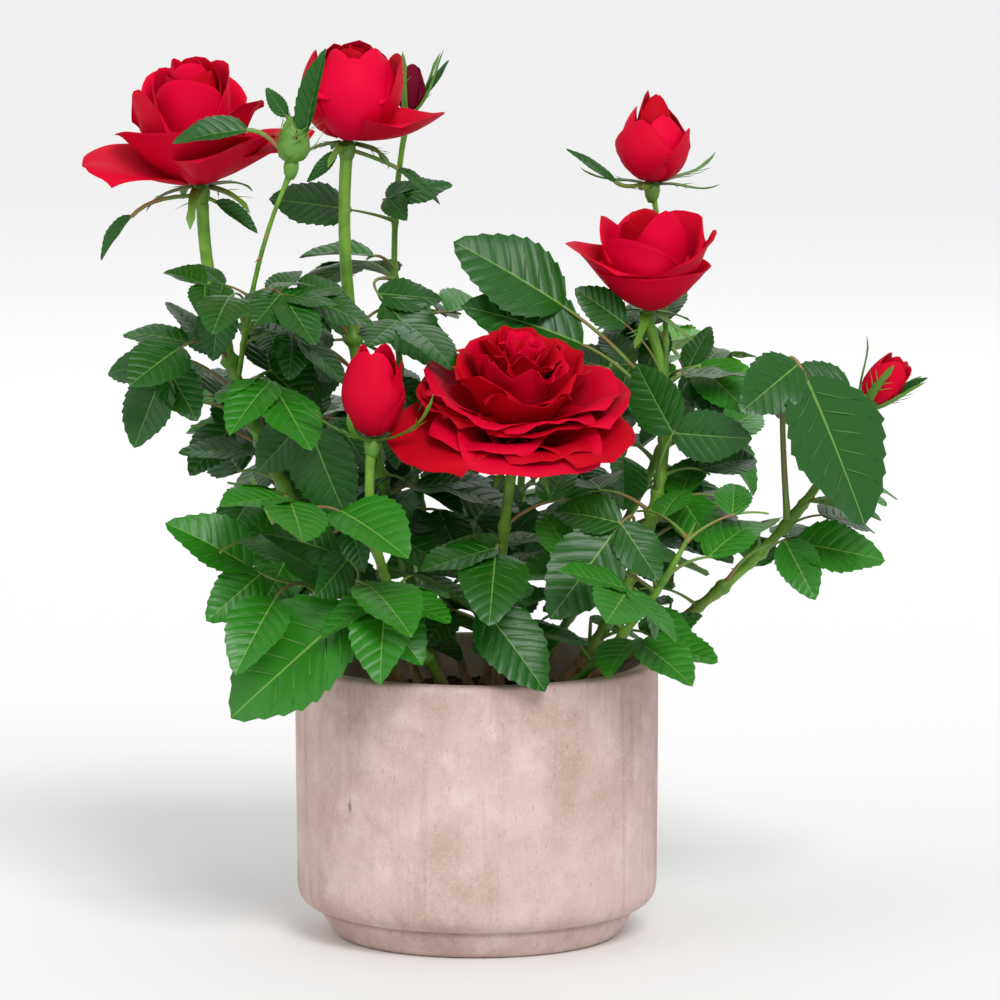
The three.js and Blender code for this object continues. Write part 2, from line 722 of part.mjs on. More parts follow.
show('pot', lathed(potProfile(), POT_FACETS), 'pot');
show('soil', lathed(soilProfile(), POT_FACETS), 'soil');
show('moss', lathed(mossProfile(), 16), 'moss').position.set(...MOSS_PLACE, SOIL_TOP);

const shoots = plantShoots();
growLeaves(shoots);
Object.values(shoots).forEach((shoot) => {
  if (!shoot.parent) {
    const forks = Object.values(shoots).filter((one) => one.parent === shoot.name);
    show(`cane_${shoot.name}`, geometryOf(cane(shoot)), 'cane');
    show(`foliage_${shoot.name}`, geometryOf(foliage(shoot, forks)), 'leaf');
  }
  if (FLOWERS[shoot.name]) {
    const look = FLOWERS[shoot.name][0] === 'green_bud' ? 'green' : 'red';
    show(`flower_${shoot.name}`, geometryOf(flower(shoot)), look);
  }
});

export default group;
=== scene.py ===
"""A potted miniature rose: stoneware pot, soil, moss, canes, compound leaves, red blooms and buds."""
import json
import math

import bpy
import numpy as np
from mathutils import Matrix, Vector, noise

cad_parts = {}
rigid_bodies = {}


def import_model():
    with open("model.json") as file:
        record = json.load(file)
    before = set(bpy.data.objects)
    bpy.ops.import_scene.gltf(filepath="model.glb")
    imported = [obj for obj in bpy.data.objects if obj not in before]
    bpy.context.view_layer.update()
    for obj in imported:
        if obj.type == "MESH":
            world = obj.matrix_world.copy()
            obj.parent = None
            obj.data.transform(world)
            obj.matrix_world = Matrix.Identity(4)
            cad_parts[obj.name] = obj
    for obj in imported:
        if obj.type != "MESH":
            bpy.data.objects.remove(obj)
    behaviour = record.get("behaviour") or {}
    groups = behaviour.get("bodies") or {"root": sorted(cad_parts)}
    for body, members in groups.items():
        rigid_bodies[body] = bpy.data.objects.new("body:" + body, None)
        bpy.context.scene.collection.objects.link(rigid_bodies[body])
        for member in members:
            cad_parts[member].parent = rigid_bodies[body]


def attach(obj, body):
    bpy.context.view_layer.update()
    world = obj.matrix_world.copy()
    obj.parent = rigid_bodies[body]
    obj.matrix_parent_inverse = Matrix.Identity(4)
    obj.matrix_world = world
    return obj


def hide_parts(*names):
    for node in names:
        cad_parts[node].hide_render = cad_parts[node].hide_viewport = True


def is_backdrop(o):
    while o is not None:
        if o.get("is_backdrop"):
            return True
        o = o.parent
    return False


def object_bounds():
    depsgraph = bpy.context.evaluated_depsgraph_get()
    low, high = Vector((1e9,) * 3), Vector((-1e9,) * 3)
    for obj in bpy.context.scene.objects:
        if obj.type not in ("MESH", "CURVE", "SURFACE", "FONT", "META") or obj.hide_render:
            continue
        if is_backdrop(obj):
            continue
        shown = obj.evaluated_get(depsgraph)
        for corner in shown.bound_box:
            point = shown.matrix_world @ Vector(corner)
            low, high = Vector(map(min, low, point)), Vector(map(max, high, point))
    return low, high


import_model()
cad_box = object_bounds()


# Pot. A thrown stoneware cylinder on a recessed foot, unglazed, in a mottled pinkish taupe. Its rim and
# lower edge are softly rounded, and one small nick shows on the front left.
class Wire:
    """A shader value that takes part in Python arithmetic."""

    def __init__(self, finish, socket):
        self.finish = finish
        self.socket = socket

    def _math(self, operation, *values):
        return self.finish.node("ShaderNodeMath", {"operation": operation}, dict(enumerate(values)))

    def __add__(self, other):
        return self._math("ADD", self, other)

    def __sub__(self, other):
        return self._math("SUBTRACT", self, other)

    def __rsub__(self, other):
        return self._math("SUBTRACT", other, self)

    def __mul__(self, other):
        return self._math("MULTIPLY", self, other)

    def __abs__(self):
        return self._math("ABSOLUTE", self)

    __radd__ = __add__
    __rmul__ = __mul__

    def fraction(self):
        return self._math("FRACT", self)

    def step(self, low, high):
        """0 below low, 1 above high, smooth between."""
        smooth = {"interpolation_type": "SMOOTHSTEP"}
        limits = {"Value": self, "From Min": low, "From Max": high}
        return self.finish.node("ShaderNodeMapRange", smooth, limits)


class Finish:
    """A material with one Principled shader; values that stay the same are set on its own sockets."""

    def __init__(self, name, **constants):
        self.material = bpy.data.materials.new(name)
        self.material.use_nodes = True
        self.tree = self.material.node_tree
        self.shader = self.tree.nodes["Principled BSDF"]
        for socket, value in constants.items():
            self.shader.inputs[socket.replace("_", " ")].default_value = value

    def feed(self, socket, value):
        if isinstance(value, Wire):
            self.tree.links.new(value.socket, socket)
        elif isinstance(value, tuple) and len(value) == 3 and socket.type == "RGBA":
            socket.default_value = (*value, 1)
        else:
            socket.default_value = value

    def node(self, kind, settings, inputs, output=0):
        node = self.tree.nodes.new(kind)
        for name, value in settings.items():
            setattr(node, name, value)
        for name, value in inputs.items():
            found = [s for s in node.inputs if name in (s.identifier, s.name)]
            self.feed(node.inputs[name] if isinstance(name, int) else found[0], value)
        named = [s for s in node.outputs if output in (s.identifier, s.name)]
        return Wire(self, node.outputs[output] if isinstance(output, int) else named[0])

    def place(self):
        """The place on the object itself, as a texture's coordinates."""
        return self.node("ShaderNodeTexCoord", {}, {}, "Object")

    def attribute(self, name):
        return self.node("ShaderNodeAttribute", {"attribute_name": name}, {}, "Fac")

    def stretched(self, x, y, z):
        return self.node("ShaderNodeMapping", {}, {"Vector": self.place(), "Scale": (x, y, z)})

    def noise(self, vector, scale, detail, roughness):
        inputs = {"Vector": vector, "Scale": scale, "Detail": detail, "Roughness": roughness}
        return self.node("ShaderNodeTexNoise", {}, inputs)

    def mix(self, factor, first, second):
        inputs = {"Factor_Float": factor, "A_Color": first, "B_Color": second}
        return self.node("ShaderNodeMix", {"data_type": "RGBA"}, inputs, "Result_Color")

    def set(self, socket, value):
        self.feed(self.shader.inputs[socket], value)

    def relief(self, height, distance, strength):
        inputs = {"Height": height, "Distance": distance, "Strength": strength}
        self.set("Normal", self.node("ShaderNodeBump", {}, inputs))


def linear(red, green, blue):
    """A screen colour of 0 to 255 as the linear colour that shaders take."""
    shares = (red / 255, green / 255, blue / 255)
    return tuple(((c + 0.055) / 1.055) ** 2.4 if c > 0.04 else c / 12.92 for c in shares)


def plain(red, green, blue):
    """The same with full cover, for a shader's own colour socket."""
    return *linear(red, green, blue), 1


MM = 0.001


def smoothed(mesh, smooth=True):
    mesh.polygons.foreach_set("use_smooth", [smooth] * len(mesh.polygons))


def new_piece(name, points, faces, material, smooth=True):
    """A mesh object with one finish, from points in metres."""
    mesh = bpy.data.meshes.new(name)
    mesh.from_pydata([tuple(p) for p in points], [], faces)
    mesh.validate()
    smoothed(mesh, smooth)
    mesh.materials.append(material)
    piece = bpy.data.objects.new(name, mesh)
    bpy.context.scene.collection.objects.link(piece)
    return piece


def turned(profile, facets, shift=None):
    """Points and faces of a body turned about Z, its profile from axis to axis, in millimetres."""
    bearings = np.arange(facets) * 2 * math.pi / facets
    points = [(0, 0, profile[0][1])]
    for radius, height in profile[1:-1]:
        points += [(radius * math.cos(a), radius * math.sin(a), height) for a in bearings]
    points.append((0, 0, profile[-1][1]))
    end = len(points) - 1
    faces = []
    for j in range(facets):
        following = (j + 1) % facets
        faces.append((0, 1 + following, 1 + j))
        for ring in range(len(profile) - 3):
            low = 1 + ring * facets
            high = low + facets
            faces.append((low + j, low + following, high + following, high + j))
        faces.append((end - facets + j, end - facets + following, end))
    points = [Vector(p) + shift(Vector(p)) if shift else Vector(p) for p in points]
    return [p * MM for p in points], faces


def rounded(corners, steps=6):
    """A profile with its named corners cut round: each corner is radius, height, rounding."""
    profile = [corners[0][:2]]
    for before, (x, z, ease), after in zip(corners, corners[1:], corners[2:]):
        corner = Vector((x, z))
        if not ease:
            profile.append((x, z))
            continue
        way_in = (Vector(before[:2]) - corner).normalized() * ease
        way_out = (Vector(after[:2]) - corner).normalized() * ease
        for i in range(steps + 1):
            t = i / steps
            spot = corner + way_in * (1 - t) ** 2 + way_out * t * t
            profile.append(tuple(spot))
    profile.append(corners[-1][:2])
    return profile


POT_RADIUS = 67.5
POT_HEIGHT = 103.0
WALL = 7.0
POT_FLOOR = 14.0
FOOT_RADIUS = 54.0
FOOT_HEIGHT = 9.0
SHOULDER = 11.0
POT_FACETS = 192
UNEVEN = 0.35
UNEVEN_SCALE = 0.02
UNEVEN_FROM = Vector((3, 1, 7))
NICK = (-48.5, -46.9, 56.0)
NICK_STRETCH = (1.0, 1.0, 0.4)
NICK_RAGGED = 0.003
NICK_INNER, NICK_OUTER = 0.0004, 0.0015
CLAY_DARK = linear(182, 153, 143)
CLAY_PALE = linear(203, 177, 170)
BLOTCH_PALE = linear(224, 202, 198)
STREAK_BROWN = linear(164, 134, 126)
GRIT_PALE = linear(220, 198, 194)
PORE_DARK = linear(152, 126, 116)
NICK_DARK = linear(128, 96, 84)
INNER = POT_RADIUS - WALL

pot_profile = rounded([
    (0, 0, 0),
    (FOOT_RADIUS - 1.5, 0, 2.6),
    (FOOT_RADIUS + 4.4, FOOT_HEIGHT, 1.0),
    (FOOT_RADIUS + 3.6, SHOULDER - 0.3, 0.6),
    (POT_RADIUS - 0.6, SHOULDER, 9.5),
    (POT_RADIUS - 0.3, 40, 0),
    (POT_RADIUS, 80, 0),
    (POT_RADIUS, POT_HEIGHT, 2.2),
    (INNER, POT_HEIGHT, 1.8),
    (INNER - 0.7, 75, 0),
    (INNER - 2, POT_FLOOR, 4.0),
    (0, POT_FLOOR, 0),
])


def hand_thrown(p):
    """The slight unevenness of a thrown wall, as a shift outwards."""
    if math.hypot(p.x, p.y) < 1 or p.z < 1:
        return Vector((0, 0, 0))
    out = Vector((p.x, p.y, 0)).normalized()
    return out * UNEVEN * noise.noise(p * UNEVEN_SCALE + UNEVEN_FROM)


stoneware = Finish("stoneware", Roughness=0.86, IOR=1.45)
object_place = stoneware.place()
clouds = stoneware.noise(object_place, scale=24.0, detail=5.0, roughness=0.6)
blotches = stoneware.noise(object_place, scale=60.0, detail=6.0, roughness=0.62)
streaks = stoneware.noise(stoneware.stretched(260.0, 260.0, 14.0), scale=1.0, detail=3.0, roughness=0.5)
grit = stoneware.noise(object_place, scale=900.0, detail=2.0, roughness=0.5)
pores = stoneware.noise(stoneware.stretched(1500.0, 1500.0, 420.0), scale=1.0, detail=2.0, roughness=0.5)
clay = stoneware.mix(clouds.step(0.34, 0.62), CLAY_DARK, CLAY_PALE)
for pattern, low, high, share, colour in (
    (blotches, 0.42, 0.8, 0.7, BLOTCH_PALE),
    (streaks, 0.48, 0.8, 0.45, STREAK_BROWN),
    (grit, 0.5, 0.72, 0.28, GRIT_PALE),
    (pores, 0.6, 0.74, 0.45, PORE_DARK),
):
    clay = stoneware.mix(pattern.step(low, high) * share, clay, colour)
nick_place = tuple(c * MM for c in NICK)
to_nick = stoneware.node("ShaderNodeVectorMath", {"operation": "SUBTRACT"}, {0: object_place, 1: nick_place})
squeezed = stoneware.node("ShaderNodeVectorMath", {"operation": "MULTIPLY"}, {0: to_nick, 1: NICK_STRETCH})
reach = stoneware.node("ShaderNodeVectorMath", {"operation": "LENGTH"}, {0: squeezed}, "Value")
nick = 1 - (reach + (blotches - 0.5) * NICK_RAGGED).step(NICK_INNER, NICK_OUTER)
stoneware.set("Base Color", stoneware.mix(nick * 0.7, clay, NICK_DARK))
stoneware.set("Roughness", 0.8 + blotches * 0.12)
wall_relief = blotches * 0.5 + streaks * 0.3 + grit * 0.12 - pores * 0.3 - nick * 2.0
stoneware.relief(wall_relief, distance=0.0007, strength=0.8)

pot = new_piece("pot_stoneware", *turned(pot_profile, POT_FACETS, hand_thrown), stoneware.material)
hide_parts("pot")
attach(pot, "root")


# Soil. Damp dark compost filling the pot to 15 mm below the rim, its top loose and crumbly: a gently
# uneven bed with crumbs of bark and peat lying on it.
class Steps:
    """A Geometry Nodes tree: named inputs, and nodes made by type with their settings and inputs."""

    def __init__(self, name, **inputs):
        self.tree = bpy.data.node_groups.new(name, "GeometryNodeTree")
        side = self.tree.interface
        side.new_socket("Geometry", in_out="INPUT", socket_type="NodeSocketGeometry")
        side.new_socket("Geometry", in_out="OUTPUT", socket_type="NodeSocketGeometry")
        for label, kind in inputs.items():
            side.new_socket(label.replace("_", " "), in_out="INPUT", socket_type="NodeSocket" + kind)
        self.given = self.tree.nodes.new("NodeGroupInput").outputs
        self.result = self.tree.nodes.new("NodeGroupOutput").inputs[0]

    def node(self, kind, settings, inputs, output=0):
        node = self.tree.nodes.new(kind)
        for name, value in settings.items():
            setattr(node, name, value)
        for name, value in inputs.items():
            open_ones = [s for s in node.inputs if s.enabled and name in (s.identifier, s.name)]
            socket = node.inputs[name] if isinstance(name, int) else open_ones[0]
            if isinstance(value, (list, bpy.types.NodeSocket)):
                for one in value if isinstance(value, list) else [value]:
                    self.tree.links.new(one, socket)
            else:
                socket.default_value = value
        return node.outputs[output]

    def attribute(self, name, kind):
        return self.node("GeometryNodeInputNamedAttribute", {"data_type": kind}, {"Name": name})

    def finish(self, geometry):
        self.tree.links.new(geometry, self.result)

    def grow(self, name, source, **values):
        """Runs the tree on an object and returns what it makes as a plain mesh piece."""
        modifier = source.modifiers.new("steps", "NODES")
        modifier.node_group = self.tree
        sockets = {s.name: s.identifier for s in self.tree.interface.items_tree if s.in_out == "INPUT"}
        for label, value in values.items():
            modifier[sockets[label.replace("_", " ")]] = value
        evaluated = source.evaluated_get(bpy.context.evaluated_depsgraph_get())
        mesh = bpy.data.meshes.new_from_object(evaluated)
        source.modifiers.remove(modifier)
        mesh.name = name
        piece = bpy.data.objects.new(name, mesh)
        bpy.context.scene.collection.objects.link(piece)
        return piece


def plain_object(name, points, faces=(), edges=(), **attributes):
    """A construction object: a mesh with its named attributes, linked so that it can be evaluated."""
    mesh = bpy.data.meshes.new(name)
    mesh.from_pydata([tuple(p) for p in points], list(edges), list(faces))
    for label, (kind, domain, values) in attributes.items():
        layer = mesh.attributes.new(label, kind, domain)
        key = "vector" if kind == "FLOAT_VECTOR" else "value"
        layer.data.foreach_set(key, np.asarray(values).ravel())
    thing = bpy.data.objects.new(name, mesh)
    bpy.context.scene.collection.objects.link(thing)
    return thing


def discard(*things):
    for thing in things:
        bpy.data.objects.remove(thing, do_unlink=True)


SOIL_TOP = 88.0
SOIL_GAP = 0.3
SOIL_EDGE = INNER - 1.2
SOIL_FOOT = INNER - 2.6
SOIL_EASE = 1
LOOSE_FROM = SOIL_TOP - 2
CRUMBS_FROM = SOIL_TOP - 4
SOIL_ROUGH = 1.6
SOIL_RINGS = 24
SOIL_FACETS = 96
CRUMBS = 5400
CRUMB_LEAST = 0.55
CRUMB_MOST = 2.42
CRUMB_PROFILE = ((0, -0.5), (0.42, -0.28), (0.5, 0.2), (0, 0.42))
CRUMB_SIDES = 5
CRUMB_SEED = 4
LUMP_SCALE, CLOD_SCALE = 0.06, 0.17
CLOD_SHARE = 0.5
CLODS_FROM = Vector((9, 2, 5))
LUMPS_SUNK = 0.9
PEAT_DARK = linear(30, 21, 15)
PEAT_BROWN = linear(84, 62, 44)
PEAT_DAMP = linear(48, 44, 22)

soil_low = POT_FLOOR + SOIL_GAP
soil_profile = [(0, soil_low), (SOIL_FOOT, soil_low), (SOIL_EDGE, SOIL_TOP - SOIL_EASE)]
soil_profile += [(SOIL_EDGE * (1 - i / SOIL_RINGS), SOIL_TOP) for i in range(1, SOIL_RINGS)]
soil_profile.append((0, SOIL_TOP))


def loose_top(p):
    """The lumps and hollows of the bed, as a shift of its top."""
    if p.z < LOOSE_FROM:
        return Vector((0, 0, 0))
    lumps = noise.noise(p * LUMP_SCALE) + CLOD_SHARE * noise.noise(p * CLOD_SCALE + CLODS_FROM)
    return Vector((0, 0, SOIL_ROUGH * (lumps - LUMPS_SUNK)))


compost = Finish("compost", Roughness=0.95)
peat_place = compost.place()
peat = compost.noise(peat_place, scale=420.0, detail=5.0, roughness=0.65)
damp = compost.noise(peat_place, scale=60.0, detail=3.0, roughness=0.5)
earth = compost.mix(peat.step(0.3, 0.7), PEAT_DARK, PEAT_BROWN)
compost.set("Base Color", compost.mix(damp.step(0.55, 0.75) * 0.5, earth, PEAT_DAMP))
compost.relief(peat, distance=0.0012, strength=1.0)

scatter = Steps(
    "scatter", Crumb="Object", Density="Float", Least="Float", Most="Float", Seed="Int", Finish="Material",
)
given = scatter.given
spread = {"distribute_method": "RANDOM"}
spots = scatter.node("GeometryNodeDistributePointsOnFaces", spread, {
    "Mesh": given["Geometry"], "Density": given["Density"], "Seed": given["Seed"]})
whole_turn = {"Min": (0, 0, 0), "Max": (math.tau, math.tau, math.tau), "Seed": given["Seed"]}
turns = scatter.node("FunctionNodeRandomValue", {"data_type": "FLOAT_VECTOR"}, whole_turn)
extent = {"Min": given["Least"], "Max": given["Most"], "Seed": given["Seed"]}
sizes = scatter.node("FunctionNodeRandomValue", {"data_type": "FLOAT"}, extent, 1)
crumb = scatter.node("GeometryNodeObjectInfo", {}, {"Object": given["Crumb"]}, "Geometry")
placed = scatter.node("GeometryNodeInstanceOnPoints", {}, {
    "Points": spots, "Instance": crumb, "Rotation": turns, "Scale": sizes})
whole = scatter.node("GeometryNodeRealizeInstances", {}, {"Geometry": placed})
scatter.finish(scatter.node("GeometryNodeSetMaterial", {}, {"Geometry": whole, "Material": given["Finish"]}))

soil = new_piece("soil_bed", *turned(soil_profile, SOIL_FACETS, loose_top), compost.material)
top_faces = [p.vertices[:] for p in soil.data.polygons if p.center.z > CRUMBS_FROM * MM]
soil_surface = plain_object("soil_surface", [v.co for v in soil.data.vertices], top_faces)
lump = plain_object("crumb", *turned(CRUMB_PROFILE, CRUMB_SIDES))
crumbs = scatter.grow(
    "soil_crumbs", soil_surface, Crumb=lump, Density=CRUMBS / (math.pi * (INNER * MM) ** 2),
    Least=CRUMB_LEAST, Most=CRUMB_MOST, Seed=CRUMB_SEED, Finish=compost.material)
discard(soil_surface, lump)
for piece in (soil, crumbs):
    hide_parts("soil")
    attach(piece, "root")


# Moss. A low yellow-green cushion that has grown on the compost against the right of the wall, made of
# hundreds of short pointed shoots standing off a soft mound.
MOSS_RADIUS = 12.0
MOSS_HEIGHT = 7.0
MOSS_PLACE = Vector((44, -16, SOIL_TOP))
MOSS_FACETS = 32
MOSS_ROUGH = 0.35
MOSS_ROUGH_SCALE = 0.25
MOSS_SHOOTS = 750
MOSS_LEAST = 0.9
MOSS_MOST = 1.9
MOSS_SEED = 7
MOSS_DARK = linear(70, 80, 18)
MOSS_PALE = linear(140, 146, 48)
MOSS_SUNK = -1
MOUND = ((0.94, 0.4), (0.68, 0.72), (0.34, 0.86), (0, 0.9))
STAR_RAYS = 5
STAR_ROOT = (0, 0, -0.4)
RAY_FOOT = 0.12
RAY_HALF = 0.13
RAY_REACH = 0.75
RAY_RISE = Vector((0, 0, 0.85))

moss_finish = Finish("moss", Roughness=0.9)
patches = moss_finish.noise(moss_finish.place(), scale=220.0, detail=4.0, roughness=0.6)
moss_finish.set("Base Color", moss_finish.mix(patches.step(0.35, 0.65), MOSS_DARK, MOSS_PALE))

mound = [(0, MOSS_SUNK), (MOSS_RADIUS, MOSS_SUNK)]
mound += [(out * MOSS_RADIUS, up * MOSS_HEIGHT) for out, up in MOUND]


def moss_shift(p):
    """The uneven top of the cushion, and its place in the pot."""
    return MOSS_PLACE + Vector((0, 0, 1)) * max(0, p.z) * MOSS_ROUGH * noise.noise(p * MOSS_ROUGH_SCALE)


cushion = new_piece("moss_cushion", *turned(mound, MOSS_FACETS, moss_shift), moss_finish.material)
star_points = [STAR_ROOT]
star_faces = []
for i in range(STAR_RAYS):
    a = i * math.tau / STAR_RAYS
    out = Vector((math.cos(a), math.sin(a), 0))
    side = Vector((-out.y, out.x, 0)) * RAY_HALF
    at = len(star_points)
    star_points += [out * RAY_FOOT + side, out * RAY_FOOT - side, out * RAY_REACH + RAY_RISE]
    star_faces += [(at, at + 2, at + 1), (0, at, at + 1), (0, at + 2, at), (0, at + 1, at + 2)]
star = plain_object("moss_star", [Vector(p) * MM for p in star_points], star_faces)
moss = scatter.grow(
    "moss_shoots", cushion, Crumb=star, Density=MOSS_SHOOTS / (math.pi * (MOSS_RADIUS * MM) ** 2),
    Least=MOSS_LEAST, Most=MOSS_MOST, Seed=MOSS_SEED, Finish=moss_finish.material)
discard(star)
for piece in (cushion, moss):
    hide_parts("moss")
    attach(piece, "root")


# Canes. Twelve green canes rise from the compost, each a tapering limb that is browner and thorny low
# down and fresh green above, with a swelling where each leaf leaves it. They carry leaves and flowers by
# one rule of growth, worked in millimetres.
SHOOTS = {
    # the curve's four corners; radius, where its leaves start and end, how many, bearing of the first, their
    # size, how much they droop, seed
    "left_tall": ((-24, -2, 88), (-62, -6, 148), (-100, -14, 208), (-101, -12, 274),
        2.2, 0.24, 0.74, 8, 200, 0.84, 1, 11),
    "mid_tall": ((-12, 12, 88), (-26, 10, 140), (-54, 4, 212), (-48, 2, 290),
        2.1, 0.25, 0.74, 8, 70, 0.84, 1, 5),
    "back_slim": ((-2, 24, 88), (-22, 26, 150), (-38, 36, 235), (-25, 34, 300),
        1.5, 0.25, 0.74, 7, 20, 0.78, 1, 9),
    "front_bud": ((-8, -22, 88), (-20, -32, 112), (-46, -50, 140), (-40, -52, 190),
        1.9, 0.22, 0.55, 3, 240, 0.86, 1, 3),
    "centre": ((8, -14, 88), (5, -18, 118), (8, -26, 150), (12, -33, 181),
        2.1, 0.22, 0.78, 4, 300, 0.86, 1, 21),
    "right_tall": ((22, -8, 88), (50, -16, 106), (84, -6, 178), (63, 0, 229),
        2.1, 0.22, 0.85, 8, 330, 0.86, 1, 14),
    "far_right": ((28, 3, 88), (57, 1, 103), (114, 2, 134), (143, 6, 194),
        2.2, 0.36, 0.84, 6, 75, 0.76, 0.3, 17),
    "low_left": ((-26, -12, 88), (-44, -26, 110), (-66, -34, 138), (-84, -34, 176),
        1.7, 0.25, 1, 6, 120, 0.9, 1, 31),
    "back_left": ((-20, 20, 88), (-36, 44, 130), (-62, 66, 160), (-74, 70, 206),
        1.8, 0.22, 0.86, 7, 100, 0.9, 1, 41),
    "back_mid": ((4, 28, 88), (12, 52, 124), (20, 76, 146), (20, 80, 168),
        1.9, 0.25, 0.86, 5, 60, 0.9, 1, 51),
    "back_right": ((20, 20, 88), (40, 44, 122), (74, 62, 160), (82, 60, 210),
        1.8, 0.22, 1, 8, 20, 0.88, 1, 61),
    "low_right": ((24, -20, 88), (44, -38, 108), (62, -48, 126), (78, -46, 160),
        1.6, 0.3, 1, 5, 300, 0.8, 0.3, 71),
}
FORKS = {
    # parent and the share of its length where the fork leaves it, its first rise, the other two corners;
    # the rest as above
    "green_bud": ("left_tall", 0.66, (3, -6, 14), (-84, -40, 256), (-69, -44, 288),
        1.1, 0.2, 0.5, 1, 20, 0.6, 1, 81),
    "upper_right": ("right_tall", 0.62, (4, 10, 24), (74, 26, 236), (66, 22, 276),
        1.2, 0.15, 0.55, 2, 60, 0.7, 1, 91),
}
SET_LEAVES = (
    # shoot, share of its length, where the end leaflet starts and ends, the way it faces, splay and size of
    # the side leaflets, pairs of them
    ("front_bud", 0.36, (-47, -60, 131), (-93, -63, 92), (0.1, -0.6, 0.7), 100, 0.6, 1),
    ("centre", 0.22, (0, -60, 131), (23, -76, 104), (0.1, -0.8, 0.6), 80, 0.8, 1),
    ("far_right", 0.74, (120, -22, 210), (143, -34, 157), (0.5, -0.8, 0.3), 75, 0.7, 1),
    ("far_right", 0.55, (118, -8, 147), (152, -8, 141), (0.1, -0.75, 0.6), 62, 0.9, 1),
    ("right_tall", 0.3, (48, -50, 157), (24, -62, 127), (0.1, -0.75, 0.6), 70, 0.8, 1),
    ("right_tall", 0.8, (36, -8, 229), (-8, -6, 262), (-0.1, -0.6, 0.8), 62, 0.8, 1),
    ("left_tall", 0.62, (-116, -18, 212), (-127, -28, 186), (-0.4, -0.9, 0.3), 62, 1, 1),
    ("low_left", 0.62, (-84, -44, 144), (-114, -44, 163), (-0.1, -0.7, 0.7), 62, 0.9, 1),
    ("front_bud", 0.55, (-62, -36, 194), (-50, -42, 160), (-0.3, -0.9, 0.4), 62, 0.9, 1),
    ("low_left", 0.5, (-52, -56, 150), (-78, -66, 163), (-0.2, -0.7, 0.7), 62, 0.9, 1),
    ("right_tall", 0.62, (74, -22, 194), (97, -24, 226), (0.1, -0.85, 0.5), 62, 0.85, 1),
    ("mid_tall", 0.62, (-70, -14, 222), (-104, -22, 216), (-0.1, -0.6, 0.8), 62, 0.9, 2),
    ("mid_tall", 0.7, (-62, -12, 236), (-50, -20, 210), (0, -0.9, 0.5), 62, 0.9, 1),
    ("back_slim", 0.72, (-34, 6, 236), (-12, -4, 212), (0.2, -0.9, 0.5), 62, 0.9, 1),
    ("left_tall", 0.7, (-92, -2, 226), (-103, -4, 252), (-0.1, -0.7, 0.7), 62, 0.9, 1),
    ("back_slim", 0.86, (-30, 16, 274), (-8, 14, 279), (0, -0.6, 0.8), 50, 0.8, 1),
)
FLOWERS = {
    # kind, lean, turn in degrees
    "left_tall": ("cone", (-0.12, -0.2, 1), -21),
    "mid_tall": ("globe", (0.08, -0.1, 1), -35),
    "back_slim": ("small_bud", (0.1, 0, 1), 0),
    "green_bud": ("green_bud", (0.1, 0, 1), 0),
    "front_bud": ("bud", (0.02, -0.05, 1), 0),
    "centre": ("rosette", (0.1, -0.55, 1), 10),
    "right_tall": ("cup", (0.02, -0.2, 1), 0),
    "upper_right": ("bud", (0.12, -0.05, 1), 30),
    "far_right": ("small_rose", (0.55, -0.05, 1), 0),
    "back_mid": ("cup", (0.05, 0.45, 1), 40),
    "back_left": ("green_bud", (-0.15, 0.1, 1), 0),
}
FLOWER_ROOM = {
    # height of a bloom's middle over the end of its stem, and its radius
    "cone": (22, 34),
    "globe": (20, 23),
    "cup": (18, 25),
    "rosette": (16, 33),
    "bud": (14, 13),
    "small_rose": (14, 11),
    "small_bud": (8, 8),
    "green_bud": (8, 9),
}
TAPER = 0.45
SPIRAL = math.radians(137.5)
LEAFLET = 40.0
LEAFLET_WIDTH = 26.0
SIDE_LEAFLET = 34.0
SIDE_LESS = 6.0
SIDE_WIDTH = 0.66
PAIR_FIRST = 5.0
PAIR_STEP = 14.0
SPREAD = 62.0
SPREAD_MORE = 6.0
BLADE_FOLD = 0.12
BLADE_SAG = 0.1
BLADE_ROOM = 2.8
STALK_ROOM = 1.4
STEM_ROOM = 0.6
ROOM_STEP = 4.0
LOWEST_PLACED = 60.0
TRIES = 6
RETRY_TURN = 0.9
SLACK = 0.5
LEAF_LEAST = 0.88
LEAF_RANGE = 0.26
ONE_PAIR_ODDS = 0.3
STALK_LENGTH = 16
STALK_PER_PAIR = 13
REACH_LEAST, REACH_RANGE = 0.9, 0.3
LIFT_LEAST, LIFT_RANGE = 0.75, 0.5
DROOP_LEAST, DROOP_RANGE = 0.15, 0.6
LEAVING_OUT = 0.9
FACING_UP, FACING_OUT, FACING_FRONT = 0.62, 0.35, 0.42
PLACE_LEAST, PLACE_RANGE = 0.3, 0.4
PAIR_LOWEST = 0.1
STALK_BEND = 0.5
SPREAD_SLACK = 12
SIDE_LEAST = 0.94
SIDE_RANGE = 0.12
SIDE_DROOP = 0.1
ROOM_BALLS = 8
ROOM_RING = 0.75
ROOM_MIDDLE = 0.8
ROOM_EDGE = 0.4
DICE_FACTOR = 1664525
DICE_STEP = 1013904223
DICE_RANGE = 2**32
SET_SEED = 900
UP = np.array((0.0, 0, 1))
FRONT = np.array((0.0, -1, 0))


def vec(*numbers):
    return np.array(numbers, float)


def length_of(v):
    return math.sqrt(v @ v)


def unit(v):
    return v / length_of(v)


def square_to(v, axis):
    """The part of a vector that stands square to an axis, at unit length."""
    return unit(v - axis * (v @ axis))


def dice(seed):
    """Repeatable dice: each call gives the next number from 0 to 1."""
    state = seed

    def roll():
        nonlocal state
        state = (state * DICE_FACTOR + DICE_STEP) % DICE_RANGE
        return state / DICE_RANGE

    return roll


def bent(foot, bend, node, t):
    """The point at a share t of a line from foot to node that is drawn aside towards bend."""
    return (1 - t) ** 2 * foot + 2 * t * (1 - t) * bend + t * t * node


